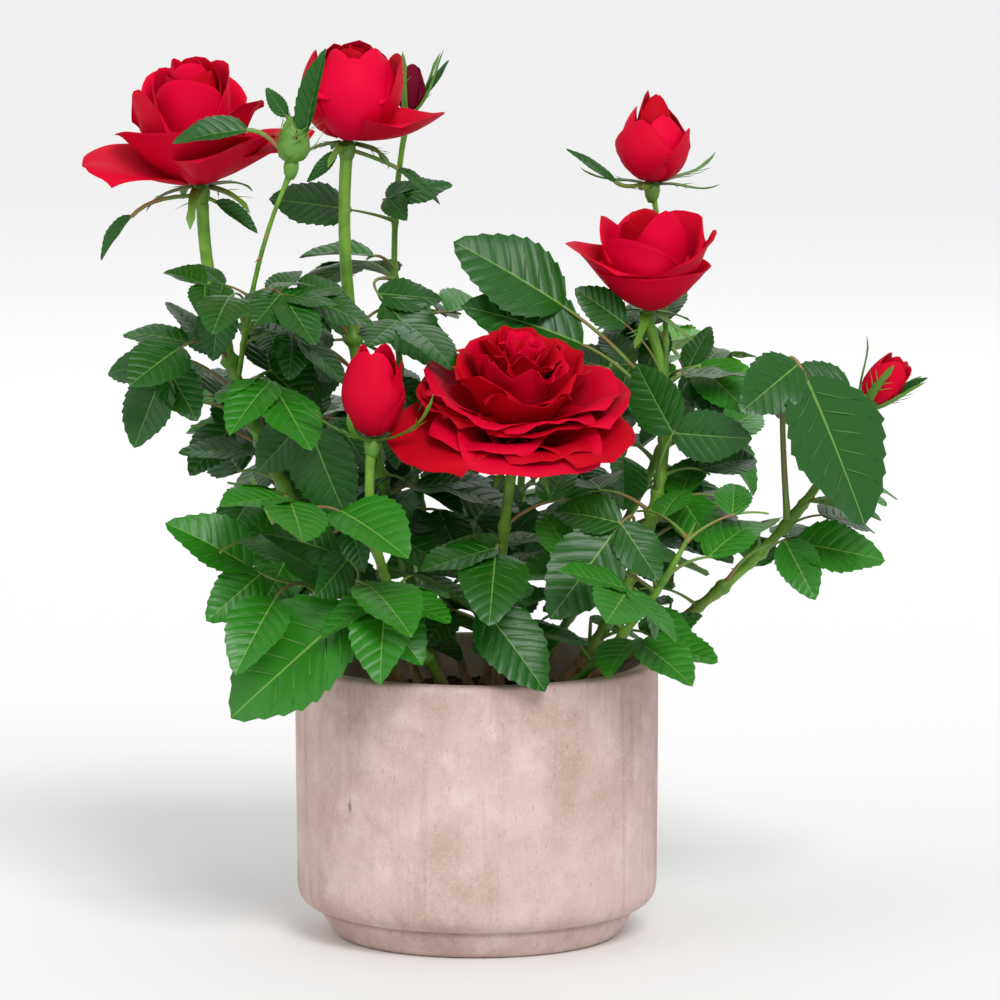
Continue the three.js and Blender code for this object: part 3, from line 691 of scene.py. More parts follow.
class Shoot:
    """A cubic curve with a taper, and the leaves that grow on it."""

    def __init__(self, name, corners, form, parent=None):
        self.name = name
        self.corners = [vec(*c) for c in corners]
        self.radius, self.low, self.high, self.leaves, self.bearing, self.size, self.droop, self.seed = form
        self.parent = parent
        self.grown = []

    def point(self, t):
        a, b, c, d = self.corners
        return (1 - t) ** 3 * a + 3 * t * (1 - t) ** 2 * b + 3 * t * t * (1 - t) * c + t**3 * d

    def heading(self, t):
        a, b, c, d = self.corners
        return unit((1 - t) ** 2 * (b - a) + 2 * t * (1 - t) * (c - b) + t * t * (d - c))

    def thick(self, t):
        return self.radius * (1 - TAPER * t)


shoots = {name: Shoot(name, row[:4], row[4:]) for name, row in SHOOTS.items()}
for name, (parent, at, rise, settle, tip, *form) in FORKS.items():
    start = shoots[parent].point(at)
    shoots[name] = Shoot(name, (start, start + vec(*rise), settle, tip), form, parent)


def outline(s):
    """Half-width of a leaflet along its length, 1 at the widest."""
    return np.sin(math.pi * np.minimum(s, 1) ** 0.8) ** 0.75


def blade_point(leaflet, s, u):
    """The point at a share s of a leaflet's length and u of its half-width."""
    base, way, face, length, width = leaflet
    half = width / 2 * outline(s) * u
    rise = BLADE_FOLD * abs(half) - BLADE_SAG * s * s * length
    return base + way * (s * length) + np.cross(face, way) * half + face * rise


class Room:
    """The room taken up so far, as balls with an owner each."""

    def __init__(self):
        self.centres = np.zeros((0, 3))
        self.radii = np.zeros(0)
        self.owners = np.zeros(0, int)
        self.names = {}

    def take(self, balls, owner):
        centres, radii = balls
        number = self.names.setdefault(owner, len(self.names))
        self.centres = np.vstack((self.centres, centres))
        self.radii = np.append(self.radii, radii)
        self.owners = np.append(self.owners, np.full(len(radii), number))

    def free(self, balls, own, lowest, ease=1.0):
        centres, radii = balls
        out = np.hypot(centres[:, 0], centres[:, 1])
        z = centres[:, 2]
        in_wall = (z < POT_HEIGHT + radii) & (out > INNER - radii) & (out < POT_RADIUS + radii)
        in_soil = (z < SOIL_TOP + radii) & (out <= INNER - radii)
        if (in_wall | in_soil | (z < lowest)).any():
            return False
        others = self.owners != self.names.get(own, -1)
        if not others.any():
            return True
        apart = self.centres[others][None] - centres[:, None]
        near = (ease * (self.radii[others][None] + radii[:, None])) ** 2
        return bool(((apart**2).sum(2) >= near).all())


def steps_over(length):
    return max(2, math.ceil(length / ROOM_STEP))


def blade_room(leaflet):
    """The balls that a leaflet takes up, in rows across it."""
    count = steps_over(leaflet[3])
    places = []
    for s in (i / count for i in range(count + 1)):
        wide = leaflet[4] * outline(s)
        across = math.ceil(wide / ROOM_STEP)
        row = [0] if wide < ROOM_STEP / 2 else [2 * k / across - 1 for k in range(across + 1)]
        places += [blade_point(leaflet, s, u) for u in row]
    return np.array(places), np.full(len(places), BLADE_ROOM)


def flower_frame(shoot, lean, turn):
    """The frame on a shoot's tip in which its flower is built, as a function of x, y and height."""
    axis = unit(vec(*lean))
    across = square_to(vec(1, 0, 0), axis)
    along = np.cross(axis, across)
    c, s = math.cos(math.radians(turn)), math.sin(math.radians(turn))
    tip = shoot.point(1)

    def place(x, y, z):
        x, y, z = (np.asarray(part)[..., None] for part in (x, y, z))
        return tip + across * (x * c - y * s) + along * (x * s + y * c) + axis * z

    return place


def flower_room(shoot):
    """The balls that a bloom takes up: one in its middle and a ring of smaller ones."""
    height, size = FLOWER_ROOM[FLOWERS[shoot.name][0]]
    a = np.arange(1, ROOM_BALLS + 1) * math.tau / ROOM_BALLS
    place = flower_frame(shoot, *FLOWERS[shoot.name][1:])
    ring = place(ROOM_RING * size * np.cos(a), ROOM_RING * size * np.sin(a), np.full(ROOM_BALLS, height))
    radii = np.append(ROOM_MIDDLE * size, np.full(ROOM_BALLS, ROOM_EDGE * size))
    return np.vstack((place(0, 0, height), ring)), radii


def compound_leaf(foot, node, way, facing, scale, pairs, roll, splay, side_size):
    """A bent stalk from foot to node, one leaflet on its end and pairs of them below."""
    reach = length_of(node - foot)
    bend = node - way * (STALK_BEND * reach)

    def stalk(t):
        return bent(foot, bend, node, t)

    leaflets = [(node, way, square_to(facing, way), LEAFLET * scale, LEAFLET_WIDTH * scale)]
    for pair in range(pairs):
        t = max(PAIR_LOWEST, 1 - (PAIR_FIRST + PAIR_STEP * pair) * scale / reach)
        on = unit(foot * (t - 1) + bend * (1 - 2 * t) + node * t)
        face = square_to(facing, on)
        side = np.cross(face, on)
        spread = math.radians(splay + SPREAD_MORE * pair + SPREAD_SLACK * (roll() - 0.5))
        length = (SIDE_LEAFLET - SIDE_LESS * pair) * scale * side_size * (SIDE_LEAST + SIDE_RANGE * roll())
        for hand in (-1, 1):
            out = unit(on * math.cos(spread) + side * (hand * math.sin(spread)) - face * SIDE_DROOP)
            leaflets.append((stalk(t), out, square_to(face, out), length, length * SIDE_WIDTH))
    return {"stalk": stalk, "leaflets": leaflets, "reach": reach, "scale": scale}


def add_leaf(room, shoot, t, key, lowest, spec, ease=1.0):
    """Adds a leaf where its stalk is free, with those of its leaflets that are free too."""
    leaf = compound_leaf(shoot.point(t), *spec)
    count = max(2, math.floor(leaf["reach"] / ROOM_STEP))
    along = np.array([leaf["stalk"](i / count) for i in range(count + 1)]), np.full(count + 1, STALK_ROOM)
    if not room.free((along[0][2:], along[1][2:]), key, lowest, ease):
        return False
    kept = []
    for leaflet in leaf["leaflets"]:
        balls = blade_room(leaflet)
        if room.free(balls, key, lowest, ease):
            room.take(balls, key)
            kept.append(leaflet)
    if not kept:
        return False
    room.take(along, key)
    shoot.grown.append({**leaf, "leaflets": kept, "t": t, "set": key.startswith("set")})
    return True


def next_leaf(shoot, i, attempt, t, roll):
    """A shoot's leaf number i as the rule gives it, turned aside further with each new attempt."""
    swing = RETRY_TURN * attempt * (1 if attempt % 2 else -1) + SLACK * (roll() - 0.5)
    azimuth = math.radians(shoot.bearing) + i * SPIRAL + swing
    out = vec(math.cos(azimuth), math.sin(azimuth), 0)
    scale = shoot.size * (LEAF_LEAST + LEAF_RANGE * roll())
    pairs = 1 if roll() < ONE_PAIR_ODDS else 2
    reach = (STALK_LENGTH + STALK_PER_PAIR * pairs) * scale * (REACH_LEAST + REACH_RANGE * roll())
    lift = LIFT_LEAST + LIFT_RANGE * roll()
    droop = (DROOP_LEAST + DROOP_RANGE * roll()) * shoot.droop
    leaving = unit(out * LEAVING_OUT + UP * lift)
    way = unit(out - UP * droop)
    node = shoot.point(t) + leaving * (reach / 2) + way * (reach / 2)
    facing = UP * FACING_UP + out * FACING_OUT + FRONT * FACING_FRONT
    facing = facing + vec(SLACK * (roll() - 0.5), 0, 0)
    facing = facing + vec(0, SLACK * (roll() - 0.5), 0)
    return node, way, facing, scale, pairs, roll, SPREAD, 1


def grow_leaf(shoot, i, t, roll, ease=1.0):
    """Adds a shoot's leaf number i by the rule, if one of the attempts finds room."""
    for attempt in range(TRIES):
        spec = next_leaf(shoot, i, attempt, t, roll)
        if add_leaf(room, shoot, t, f"{shoot.name} {i}", POT_HEIGHT, spec, ease):
            break


def set_leaf(key, seed, ease, name, t, node, tip, facing, splay=SPREAD, side_size=1, pairs=0):
    """Adds a leaf seen in its own place, with its end leaflet from node to tip."""
    way = vec(*tip) - vec(*node)
    length = length_of(way)
    spec = vec(*node), way / length, vec(*facing), length / LEAFLET, pairs, dice(seed), splay, side_size
    add_leaf(room, shoots[name], t, key, LOWEST_PLACED, spec, ease)


room = Room()
for shoot in shoots.values():
    count = math.floor(length_of(shoot.corners[3] - shoot.corners[0]) / ROOM_STEP)
    marks = [i / count for i in range(count + 1)]
    along = np.array([shoot.point(t) for t in marks])
    room.take((along, np.array([shoot.thick(t) + STEM_ROOM for t in marks])), shoot.name + " stem")
    if shoot.name in FLOWERS:
        room.take(flower_room(shoot), shoot.name + " flower")
for i, row in enumerate(SET_LEAVES):
    set_leaf(f"set {i}", SET_SEED + i, 1.0, *row)
rolls = {name: dice(shoot.seed) for name, shoot in shoots.items()}
for i in range(max(shoot.leaves for shoot in shoots.values())):
    for name, shoot in shoots.items():
        if i >= shoot.leaves:
            continue
        share = i + PLACE_LEAST + PLACE_RANGE * rolls[name]()
        t = shoot.low + (shoot.high - shoot.low) * share / shoot.leaves
        grow_leaf(shoot, i, t, rolls[name])

# What the solids leave to this script: single leaves, and more rounds of the rule outside the lines of
# sight that stay free
LATE_LEAVES = (
    # single leaves seen against the sky beside the blooms: shoot, share of its length, where the leaflet
    # starts and ends, the way it faces
    ("right_tall", 0.8, (31, -12, 236), (-8, -12, 262), (-0.1, -0.7, 0.7)),
    ("right_tall", 0.76, (38, -14, 222), (-4, -18, 241), (-0.1, -0.75, 0.6)),
    ("green_bud", 0.35, (-95, -30, 242), (-97, -34, 218), (0.2, -0.9, 0.2)),
    ("right_tall", 0.86, (54, -8, 229), (36, -10, 243), (-0.1, -0.8, 0.6)),
    ("far_right", 0.86, (137, -12, 205), (110, -16, 212), (0.1, -0.8, 0.6)),
    ("far_right", 0.88, (138, -8, 212), (124, -8, 221), (0.1, -0.8, 0.6)),
    ("back_slim", 0.82, (-46, 28, 268), (-77, 26, 273), (0, -0.6, 0.8)),
)
LATE_EASE = 0.2
LATE_SEED = 960
EXTRA_ROUNDS = 7
EXTRA_EASE = 0.55
GLIMPSES = (
    # where the light comes through between the leaves: x and height where the line of sight passes the
    # stems, and half the width of the gap
    (106, 186, 8), (98, 141, 10), (-70, 170, 6), (107, 120, 10), (-100, 135, 9), (-115, 187, 8),
    (99, 220, 7), (-113, 127, 7), (-113, 236, 6), (-100, 164, 6), (122, 131, 7), (-4, 223, 5),
)
GLIMPSE_REACH = 110
GLIMPSE_STEP = 10
# Where the photograph was taken from
VIEW_FROM = (-91.5, -2590.0, 510.0)

for i, row in enumerate(LATE_LEAVES):
    set_leaf(f"set late {i}", LATE_SEED + i, LATE_EASE, *row)
depths = range(-GLIMPSE_REACH, GLIMPSE_REACH + GLIMPSE_STEP, GLIMPSE_STEP)
for x, z, size in GLIMPSES:
    way = np.array(((x - VIEW_FROM[0]) / -VIEW_FROM[1], 1, (z - VIEW_FROM[2]) / -VIEW_FROM[1]))
    deep = np.array([np.array((x, 0, z)) + way * y for y in depths])
    room.take((deep, np.full(len(deep), float(size))), "glimpse")
for i in range(EXTRA_ROUNDS):
    for name, shoot in shoots.items():
        t = shoot.low + (shoot.high - shoot.low) * rolls[name]()
        grow_leaf(shoot, shoot.leaves + i, t, rolls[name], EXTRA_EASE)

STEM_STEP = 1.5
STEM_SIDES = 14
FINE_STEPS = 400
ROOT_FLARE = 0.5
FLARE_REACH = 5.0
SWELLING = 0.35
SWELLING_REACH = 1.6
FLOWER_FOOT = 2.4
FLOWER_FOOT_REACH = 3.0
SMALL_BLOOM = 10
SMALL_FOOT = 0.7
TIP_RADIUS = 0.5
TIP_SPREAD = 0.04
STEM_TAPER = {"left_tall": -0.05, "mid_tall": -0.08, "right_tall": 0.05, "centre": 0.1, "front_bud": 0.1}
STEM_TAPER_USUAL = 0.3
WOODY = {"far_right": 62.0, "back_left": 40.0, "low_left": 30.0, "right_tall": 30.0}
WOODY_USUAL = 16.0
BARK_RELIEF = 0.00024
BARK_GRAIN = 900.0
YOUNG_DARK = linear(80, 128, 28)
YOUNG_PALE = linear(108, 156, 44)
WOOD_DARK = linear(112, 88, 52)
WOOD_PALE = linear(160, 132, 88)


def stem_line(shoot):
    """A shoot's points, radii and share of brown, from its start to its tip."""
    shares = np.linspace(0, 1, FINE_STEPS)
    fine = np.array([shoot.point(t) for t in shares])
    run = np.concatenate(([0], np.cumsum(np.sqrt((np.diff(fine, axis=0) ** 2).sum(1)))))
    marks = np.interp(np.linspace(0, run[-1], round(run[-1] / STEM_STEP) + 1), run, shares)
    points = np.array([shoot.point(t) for t in marks])
    far = np.interp(marks, shares, run)
    radii = shoot.radius * (1 - STEM_TAPER.get(shoot.name, STEM_TAPER_USUAL) * marks)
    if not shoot.parent:
        radii *= 1 + ROOT_FLARE * np.exp(-far / FLARE_REACH)
    for leaf in shoot.grown:
        foot = np.interp(leaf["t"], marks, far)
        radii *= 1 + SWELLING * np.exp(-(((far - foot) / SWELLING_REACH) ** 2))
    to_tip = run[-1] - far
    if shoot.name in FLOWERS:
        small = SMALL_FOOT if FLOWER_ROOM[FLOWERS[shoot.name][0]][1] < SMALL_BLOOM else 1
        radii = radii + (FLOWER_FOOT * small - radii).clip(0) * np.exp(-to_tip / FLOWER_FOOT_REACH)
    else:
        radii = np.minimum(radii, TIP_RADIUS + TIP_SPREAD * to_tip)
    brown = np.exp(-(far / WOODY.get(shoot.name, WOODY_USUAL)) ** 2) if not shoot.parent else 0 * far
    return points, radii, brown


def lines(name, rows):
    """A construction object of polylines, each given as points, radii and a tint along it."""
    starts = np.cumsum([0] + [len(points) for points, _, _ in rows])
    edges = [(at + i, at + i + 1) for at, row in zip(starts, rows) for i in range(len(row[0]) - 1)]
    points = np.vstack([row[0] for row in rows]) * MM
    radius = "FLOAT", "POINT", np.concatenate([row[1] for row in rows]) * MM
    tint = "FLOAT", "POINT", np.concatenate([row[2] for row in rows])
    return plain_object(name, points, edges=edges, radius=radius, tint=tint)


sweep = Steps("sweep", Sides="Int", Relief="Float", Relief_scale="Float", Finish="Material")
given = sweep.given
curve = sweep.node("GeometryNodeMeshToCurve", {}, {"Mesh": given["Geometry"]})
circle = sweep.node("GeometryNodeCurvePrimitiveCircle", {}, {"Resolution": given["Sides"], "Radius": 1.0})
tube = sweep.node("GeometryNodeCurveToMesh", {}, {
    "Curve": curve, "Profile Curve": circle, "Scale": sweep.attribute("radius", "FLOAT"), "Fill Caps": True})
rough = sweep.node("ShaderNodeTexNoise", {}, {"Scale": given["Relief scale"], "Detail": 3.0})
height = sweep.node("ShaderNodeMath", {"operation": "SUBTRACT"}, {0: rough, 1: 0.5})
height = sweep.node("ShaderNodeMath", {"operation": "MULTIPLY"}, {0: height, 1: given["Relief"]})
normal = sweep.node("GeometryNodeInputNormal", {}, {})
offset = sweep.node("ShaderNodeVectorMath", {"operation": "SCALE"}, {"Vector": normal, "Scale": height})
tube = sweep.node("GeometryNodeSetPosition", {}, {"Geometry": tube, "Offset": offset})
tube = sweep.node("GeometryNodeRealizeInstances", {}, {"Geometry": tube})
sweep.finish(sweep.node("GeometryNodeSetMaterial", {}, {"Geometry": tube, "Material": given["Finish"]}))

bark = Finish("cane_bark", Roughness=0.5, IOR=1.45)
fibres = bark.noise(bark.stretched(700.0, 700.0, 90.0), scale=1.0, detail=4.0, roughness=0.6)
mottle = bark.noise(bark.place(), scale=130.0, detail=3.0, roughness=0.5)
brown = (bark.attribute("tint") * 1.2 + (mottle - 0.5) * 0.5).step(0.15, 0.85)
green = bark.mix(mottle.step(0.35, 0.65), YOUNG_DARK, YOUNG_PALE)
woody = bark.mix(fibres.step(0.3, 0.7), WOOD_DARK, WOOD_PALE)
bark.set("Base Color", bark.mix(brown, green, woody))
bark.set("Roughness", 0.42 + brown * 0.3)
bark.relief(fibres, distance=0.0003, strength=0.5)


def planting(name, shapes, layers):
    """A tree that sets one of its shapes on each point, by turn, size and kind, with a finish a layer."""
    numbered = {f"Shape_{i}": "Object" for i in range(shapes)}
    tree = Steps(name, **numbered, **{f"Finish_{i}": "Material" for i in range(layers)})
    found = []
    for i in range(shapes):
        given_shape = {"Object": tree.given[f"Shape {i}"], "As Instance": True}
        found.append(tree.node("GeometryNodeObjectInfo", {}, given_shape, "Geometry"))
    turn = tree.node("FunctionNodeEulerToRotation", {}, {0: tree.attribute("turn", "FLOAT_VECTOR")})
    placed = tree.node("GeometryNodeInstanceOnPoints", {}, {
        "Points": tree.given["Geometry"],
        "Instance": tree.node("GeometryNodeJoinGeometry", {}, {"Geometry": found}),
        "Pick Instance": True,
        "Instance Index": tree.attribute("kind", "INT"),
        "Rotation": turn,
        "Scale": tree.attribute("size", "FLOAT_VECTOR"),
    })
    whole = tree.node("GeometryNodeRealizeInstances", {}, {"Geometry": placed})
    for i in range(layers):
        same = {"data_type": "INT", "operation": "EQUAL"}
        chosen = tree.node("FunctionNodeCompare", same, {"A": tree.attribute("layer", "INT"), "B": i})
        whole = tree.node("GeometryNodeSetMaterial", {}, {
            "Geometry": whole, "Selection": chosen, "Material": tree.given[f"Finish {i}"]})
    tree.finish(whole)
    return tree


def places(name, rows):
    """A construction object of points to plant on: each row is place, right, along, size and kind."""
    points = [row[0] * MM for row in rows]
    turns = [Matrix((r, a, np.cross(r, a))).transposed().to_euler() for _, r, a, _, _ in rows]
    return plain_object(
        name, points,
        turn=("FLOAT_VECTOR", "POINT", [tuple(t) for t in turns]),
        size=("FLOAT_VECTOR", "POINT", [tuple(np.asarray(row[3]) * MM) for row in rows]),
        kind=("INT", "POINT", [row[4] for row in rows]))


PRICKLE_STEP = 8.0
PRICKLE_LENGTH = 3.0
PRICKLE_SIDES = 6
PRICKLE_RINGS = (
    # height, shift along the stem, half-width, half-length, all as shares of the prickle's length
    (-0.12, 0, 0.13, 0.42),
    (0.25, -0.02, 0.09, 0.24),
    (0.6, -0.12, 0.05, 0.1),
)
PRICKLE_TIP = (0, -0.34, 1.0)
PRICKLE_SEED = 500
PRICKLES_FROM, PRICKLES_SPAN = 0.04, 0.86
PRICKLE_SLACK = 0.7
PRICKLE_LEAST, PRICKLE_RANGE = 0.7, 0.5
PRICKLE_RISE = 0.3
PRICKLE_SUNK = 0.9
NEAR_LEAF = 3
# Share of the places for prickles that stay bare
BARE = {"far_right": 0.3, "right_tall": 0.6}
BARE_USUAL = 0.85
HORN = (176, 110, 74)

prickle_points = []
for height, shift, wide, long in PRICKLE_RINGS:
    for a in np.arange(PRICKLE_SIDES) * math.tau / PRICKLE_SIDES:
        prickle_points.append((wide * math.cos(a), shift + long * math.sin(a), height))
prickle_points.append(PRICKLE_TIP)
prickle_faces = [tuple(range(PRICKLE_SIDES - 1, -1, -1))]
top = PRICKLE_SIDES * (len(PRICKLE_RINGS) - 1)
for j in range(PRICKLE_SIDES):
    k = (j + 1) % PRICKLE_SIDES
    for low in range(0, top, PRICKLE_SIDES):
        high = low + PRICKLE_SIDES
        prickle_faces.append((low + j, low + k, high + k, high + j))
    prickle_faces.append((top + j, top + k, len(prickle_points) - 1))
one_layer = "INT", "FACE", [0] * len(prickle_faces)
prickle = plain_object("prickle", prickle_points, prickle_faces, layer=one_layer)
smoothed(prickle.data)

prickle_rows = []
for shoot in shoots.values():
    roll = dice(shoot.seed + PRICKLE_SEED)
    length = math.sqrt(((shoot.corners[3] - shoot.corners[0]) ** 2).sum())
    count = int(length / PRICKLE_STEP)
    for i in range(count):
        t = PRICKLES_FROM + PRICKLES_SPAN * (i + PRICKLE_SLACK * roll()) / count
        bearing, keep, scale = roll() * math.tau, roll(), PRICKLE_LEAST + PRICKLE_RANGE * roll()
        near_leaf = min((abs(leaf["t"] - t) for leaf in shoot.grown), default=1) * length < NEAR_LEAF
        if keep < BARE.get(shoot.name, BARE_USUAL) or near_leaf:
            continue
        way = shoot.heading(t)
        side = square_to(vec(math.cos(bearing), math.sin(bearing), PRICKLE_RISE), way)
        spot = shoot.point(t) + side * shoot.thick(t) * PRICKLE_SUNK
        prickle_rows.append((spot, np.cross(way, side), way, [PRICKLE_LENGTH * scale] * 3, 0))

horn = Finish("prickle_horn", Roughness=0.4, Base_Color=plain(*HORN))
cane_lines = lines("cane_lines", [stem_line(shoot) for shoot in shoots.values()])
canes = sweep.grow(
    "canes", cane_lines, Sides=STEM_SIDES, Relief=BARK_RELIEF, Relief_scale=BARK_GRAIN, Finish=bark.material)
smoothed(canes.data)
prickle_places = places("prickle_places", prickle_rows)
prickles = planting("prickle_planting", 1, 1).grow(
    "prickles", prickle_places, Shape_0=prickle, Finish_0=horn.material)
discard(cane_lines, prickle_places, prickle)
cane_nodes = [f"cane_{name}" for name in SHOOTS]
for piece in (canes, prickles):
    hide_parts(*cane_nodes)
    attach(piece, "root")


# Leaves. Each has three or five pointed, saw-edged leaflets on a thin grooved stalk, glossy dark green
# above with a paler midrib, dull grey-green below; the youngest, near the tips, are a fresher green. Low
# leaves are painted a lighter green as painted light, where the lamp falls on them.
LEAF_TEETH = 9
FIRST_ROW = 0.03
ROWS_SPAN = 0.94
MID_AT = 0.52
TOOTH_OUT = 0.022
TOOTH_AT = 0.82
TOOTH_LAST = 0.985
NOTCH = 0.965
FOLD_SCALE = 0.655
RIPPLES = 13
RIPPLE_APART = 1.3
RIB_HALF = 0.015
RIB_TAPER = 0.75
BLADE_THICK = 0.011
RIB_RAISED = 0.012
PUFF = 0.03
LEAFLET_FORMS = (
    # sag, fold, twist, ripple, ripple phase
    (0.10, 0.12, 0.05, 0.010, 0.0),
    (0.20, 0.30, -0.10, 0.014, 1.7),
    (0.05, 0.20, 0.12, 0.018, 3.1),
    (0.26, 0.08, 0.04, 0.012, 4.4),
    (0.14, 0.42, -0.06, 0.010, 5.2),
    (0.03, 0.05, 0.16, 0.020, 2.2),
)
UPPER, UNDER, RIB, VEIN = 0, 1, 2, 3
VEIN_FEET = (0.1, 0.23, 0.36, 0.49, 0.62)
VEIN_STATIONS = ((0.04, 0.5), (0.46, 0.5), (0.9, 0.4))
VEIN_RISE = 0.2
VEIN_HALF = 0.010
VEIN_TAPER = 0.4
VEIN_RAISED = 0.006
VEIN_SUNK = 0.001
RELIEF_VEINS = 7.7
RELIEF_RISE = 0.58


def leaflet_shape(name, sag, fold, twist, ripple, phase):
    """A leaflet of unit length and width along Y, facing Z: two sheets that meet in a saw-toothed edge, and
    raised side veins on the upper one."""
    points, faces, layers = [], [], []

    def add(x, s, lift=0.0):
        wide = max(0.02, 0.5 * outline(s))
        share = min(1, abs(x) / wide)
        z = fold * FOLD_SCALE * abs(x) - sag * s * s + PUFF * math.sin(math.pi * share) * wide + lift
        z += ripple * share * math.sin(RIPPLES * s + phase + (RIPPLE_APART if x > 0 else 0))
        angle = twist * s
        points.append((x * math.cos(angle) - z * math.sin(angle), s, z + x * math.sin(angle)))
        return len(points) - 1

    rows = [FIRST_ROW + ROWS_SPAN * k / LEAF_TEETH for k in range(LEAF_TEETH + 1)]
    grid = []
    for s in rows:
        wide = 0.5 * outline(s)
        rib = RIB_HALF * (1 - RIB_TAPER * s)
        tooth = min(s + TOOTH_AT * ROWS_SPAN / LEAF_TEETH, TOOTH_LAST)
        row = {}
        for hand in (-1, 1):
            row[hand, "notch"] = add(hand * wide * NOTCH, s)
            row[hand, "rib"] = add(hand * rib, s, BLADE_THICK / 2)
            row[hand, "mid"] = add(hand * (rib + wide) * MID_AT, s, BLADE_THICK / 2)
            row[hand, "low"] = add(hand * rib, s, -BLADE_THICK / 2 - RIB_RAISED)
            row[hand, "tooth"] = add(hand * (0.5 * outline(tooth) + TOOTH_OUT), tooth)
        grid.append(row)
    root, tip = add(0, 0), add(0, 1)

    def face(hand, layer, *corners):
        faces.append(corners if hand > 0 else corners[::-1])
        layers.append(layer)

    for low, high in zip(grid, grid[1:]):
        for hand in (-1, 1):
            face(hand, UPPER, low[hand, "rib"], low[hand, "mid"], high[hand, "mid"], high[hand, "rib"])
            face(hand, UPPER, low[hand, "mid"], low[hand, "notch"], low[hand, "tooth"], high[hand, "mid"])
            face(hand, UPPER, high[hand, "mid"], low[hand, "tooth"], high[hand, "notch"])
            face(hand, UNDER, low[hand, "low"], high[hand, "low"], low[hand, "tooth"], low[hand, "notch"])
            face(hand, UNDER, high[hand, "low"], high[hand, "notch"], low[hand, "tooth"])
        face(1, RIB, low[-1, "rib"], low[1, "rib"], high[1, "rib"], high[-1, "rib"])
        face(-1, RIB, low[-1, "low"], low[1, "low"], high[1, "low"], high[-1, "low"])
    first, last = grid[0], grid[-1]
    for hand in (-1, 1):
        face(hand, UPPER, root, first[hand, "notch"], first[hand, "mid"], first[hand, "rib"])
        face(hand, UNDER, root, first[hand, "low"], first[hand, "notch"])
        face(hand, UPPER, tip, last[hand, "rib"], last[hand, "mid"], last[hand, "notch"])
        face(hand, UNDER, tip, last[hand, "notch"], last[hand, "low"])
    face(1, RIB, root, first[1, "rib"], first[-1, "rib"])
    face(-1, RIB, root, first[1, "low"], first[-1, "low"])
    face(1, RIB, tip, last[-1, "rib"], last[1, "rib"])
    face(-1, RIB, tip, last[-1, "low"], last[1, "low"])
    for foot in VEIN_FEET:
        for hand in (-1, 1):
            stations = []
            for share, lift in VEIN_STATIONS:
                s = foot + VEIN_RISE * share
                half = VEIN_HALF * (1 - VEIN_TAPER * share)
                high = VEIN_RAISED * (1 - share)
                x = hand * share * 0.5 * outline(s)
                stations.append((
                    add(x, s - half, lift * BLADE_THICK - VEIN_SUNK),
                    add(x, s, lift * BLADE_THICK + high),
                    add(x, s + half, lift * BLADE_THICK - VEIN_SUNK)))
            first, second, last = stations
            for a, b in ((0, 1), (1, 2), (2, 0)):
                face(hand, VEIN, first[a], second[a], second[b], first[b])
                face(hand, VEIN, second[a], last[1], second[b])
            face(hand, VEIN, *first)
    used = sorted({corner for corners in faces for corner in corners})
    renumbered = {old: new for new, old in enumerate(used)}
    faces = [tuple(renumbered[corner] for corner in corners) for corners in faces]
    thing = plain_object(name, [points[i] for i in used], faces, layer=("INT", "FACE", layers))
    mesh = thing.data
    smoothed(mesh)
    edge_layers = {}
    for corners, layer in zip(faces, layers):
        for a, b in zip(corners, corners[1:] + corners[:1]):
            edge_layers.setdefault(frozenset((a, b)), set()).add(layer)
    between_sheets = [len(edge_layers[frozenset(e.vertices)] - {RIB}) > 1 for e in mesh.edges]
    mesh.attributes.new("sharp_edge", "BOOLEAN", "EDGE").data.foreach_set("value", between_sheets)
    flat = mesh.uv_layers.new(name="UVMap")
    for loop in mesh.loops:
        x, y, _ = mesh.vertices[loop.vertex_index].co
        flat.data[loop.index].uv = (x + 0.5, y)
    return thing


def leaf_finish(name, colour, roughness, coat):
    """Leaf skin in one plain colour, puffed up between the side veins and finely grained."""
    skin = Finish(
        name, Base_Color=plain(*colour), Roughness=roughness, Specular_IOR_Level=0.35, Coat_Weight=coat,
        Coat_Roughness=0.3)
    flat = skin.node("ShaderNodeUVMap", {"uv_map": "UVMap"}, {})
    u, v = (skin.node("ShaderNodeSeparateXYZ", {}, {0: flat}, axis) for axis in ("X", "Y"))
    across = abs(u - 0.5)
    vein = abs(((v - across * RELIEF_RISE - VEIN_FEET[0]) * RELIEF_VEINS).fraction() - 0.5)
    puff = 1 - vein.step(0.12, 0.5)
    grain = skin.noise(skin.place(), scale=700.0, detail=3.0, roughness=0.6)
    skin.relief(puff + grain * 0.3, distance=0.0004, strength=0.6)
    return skin.material
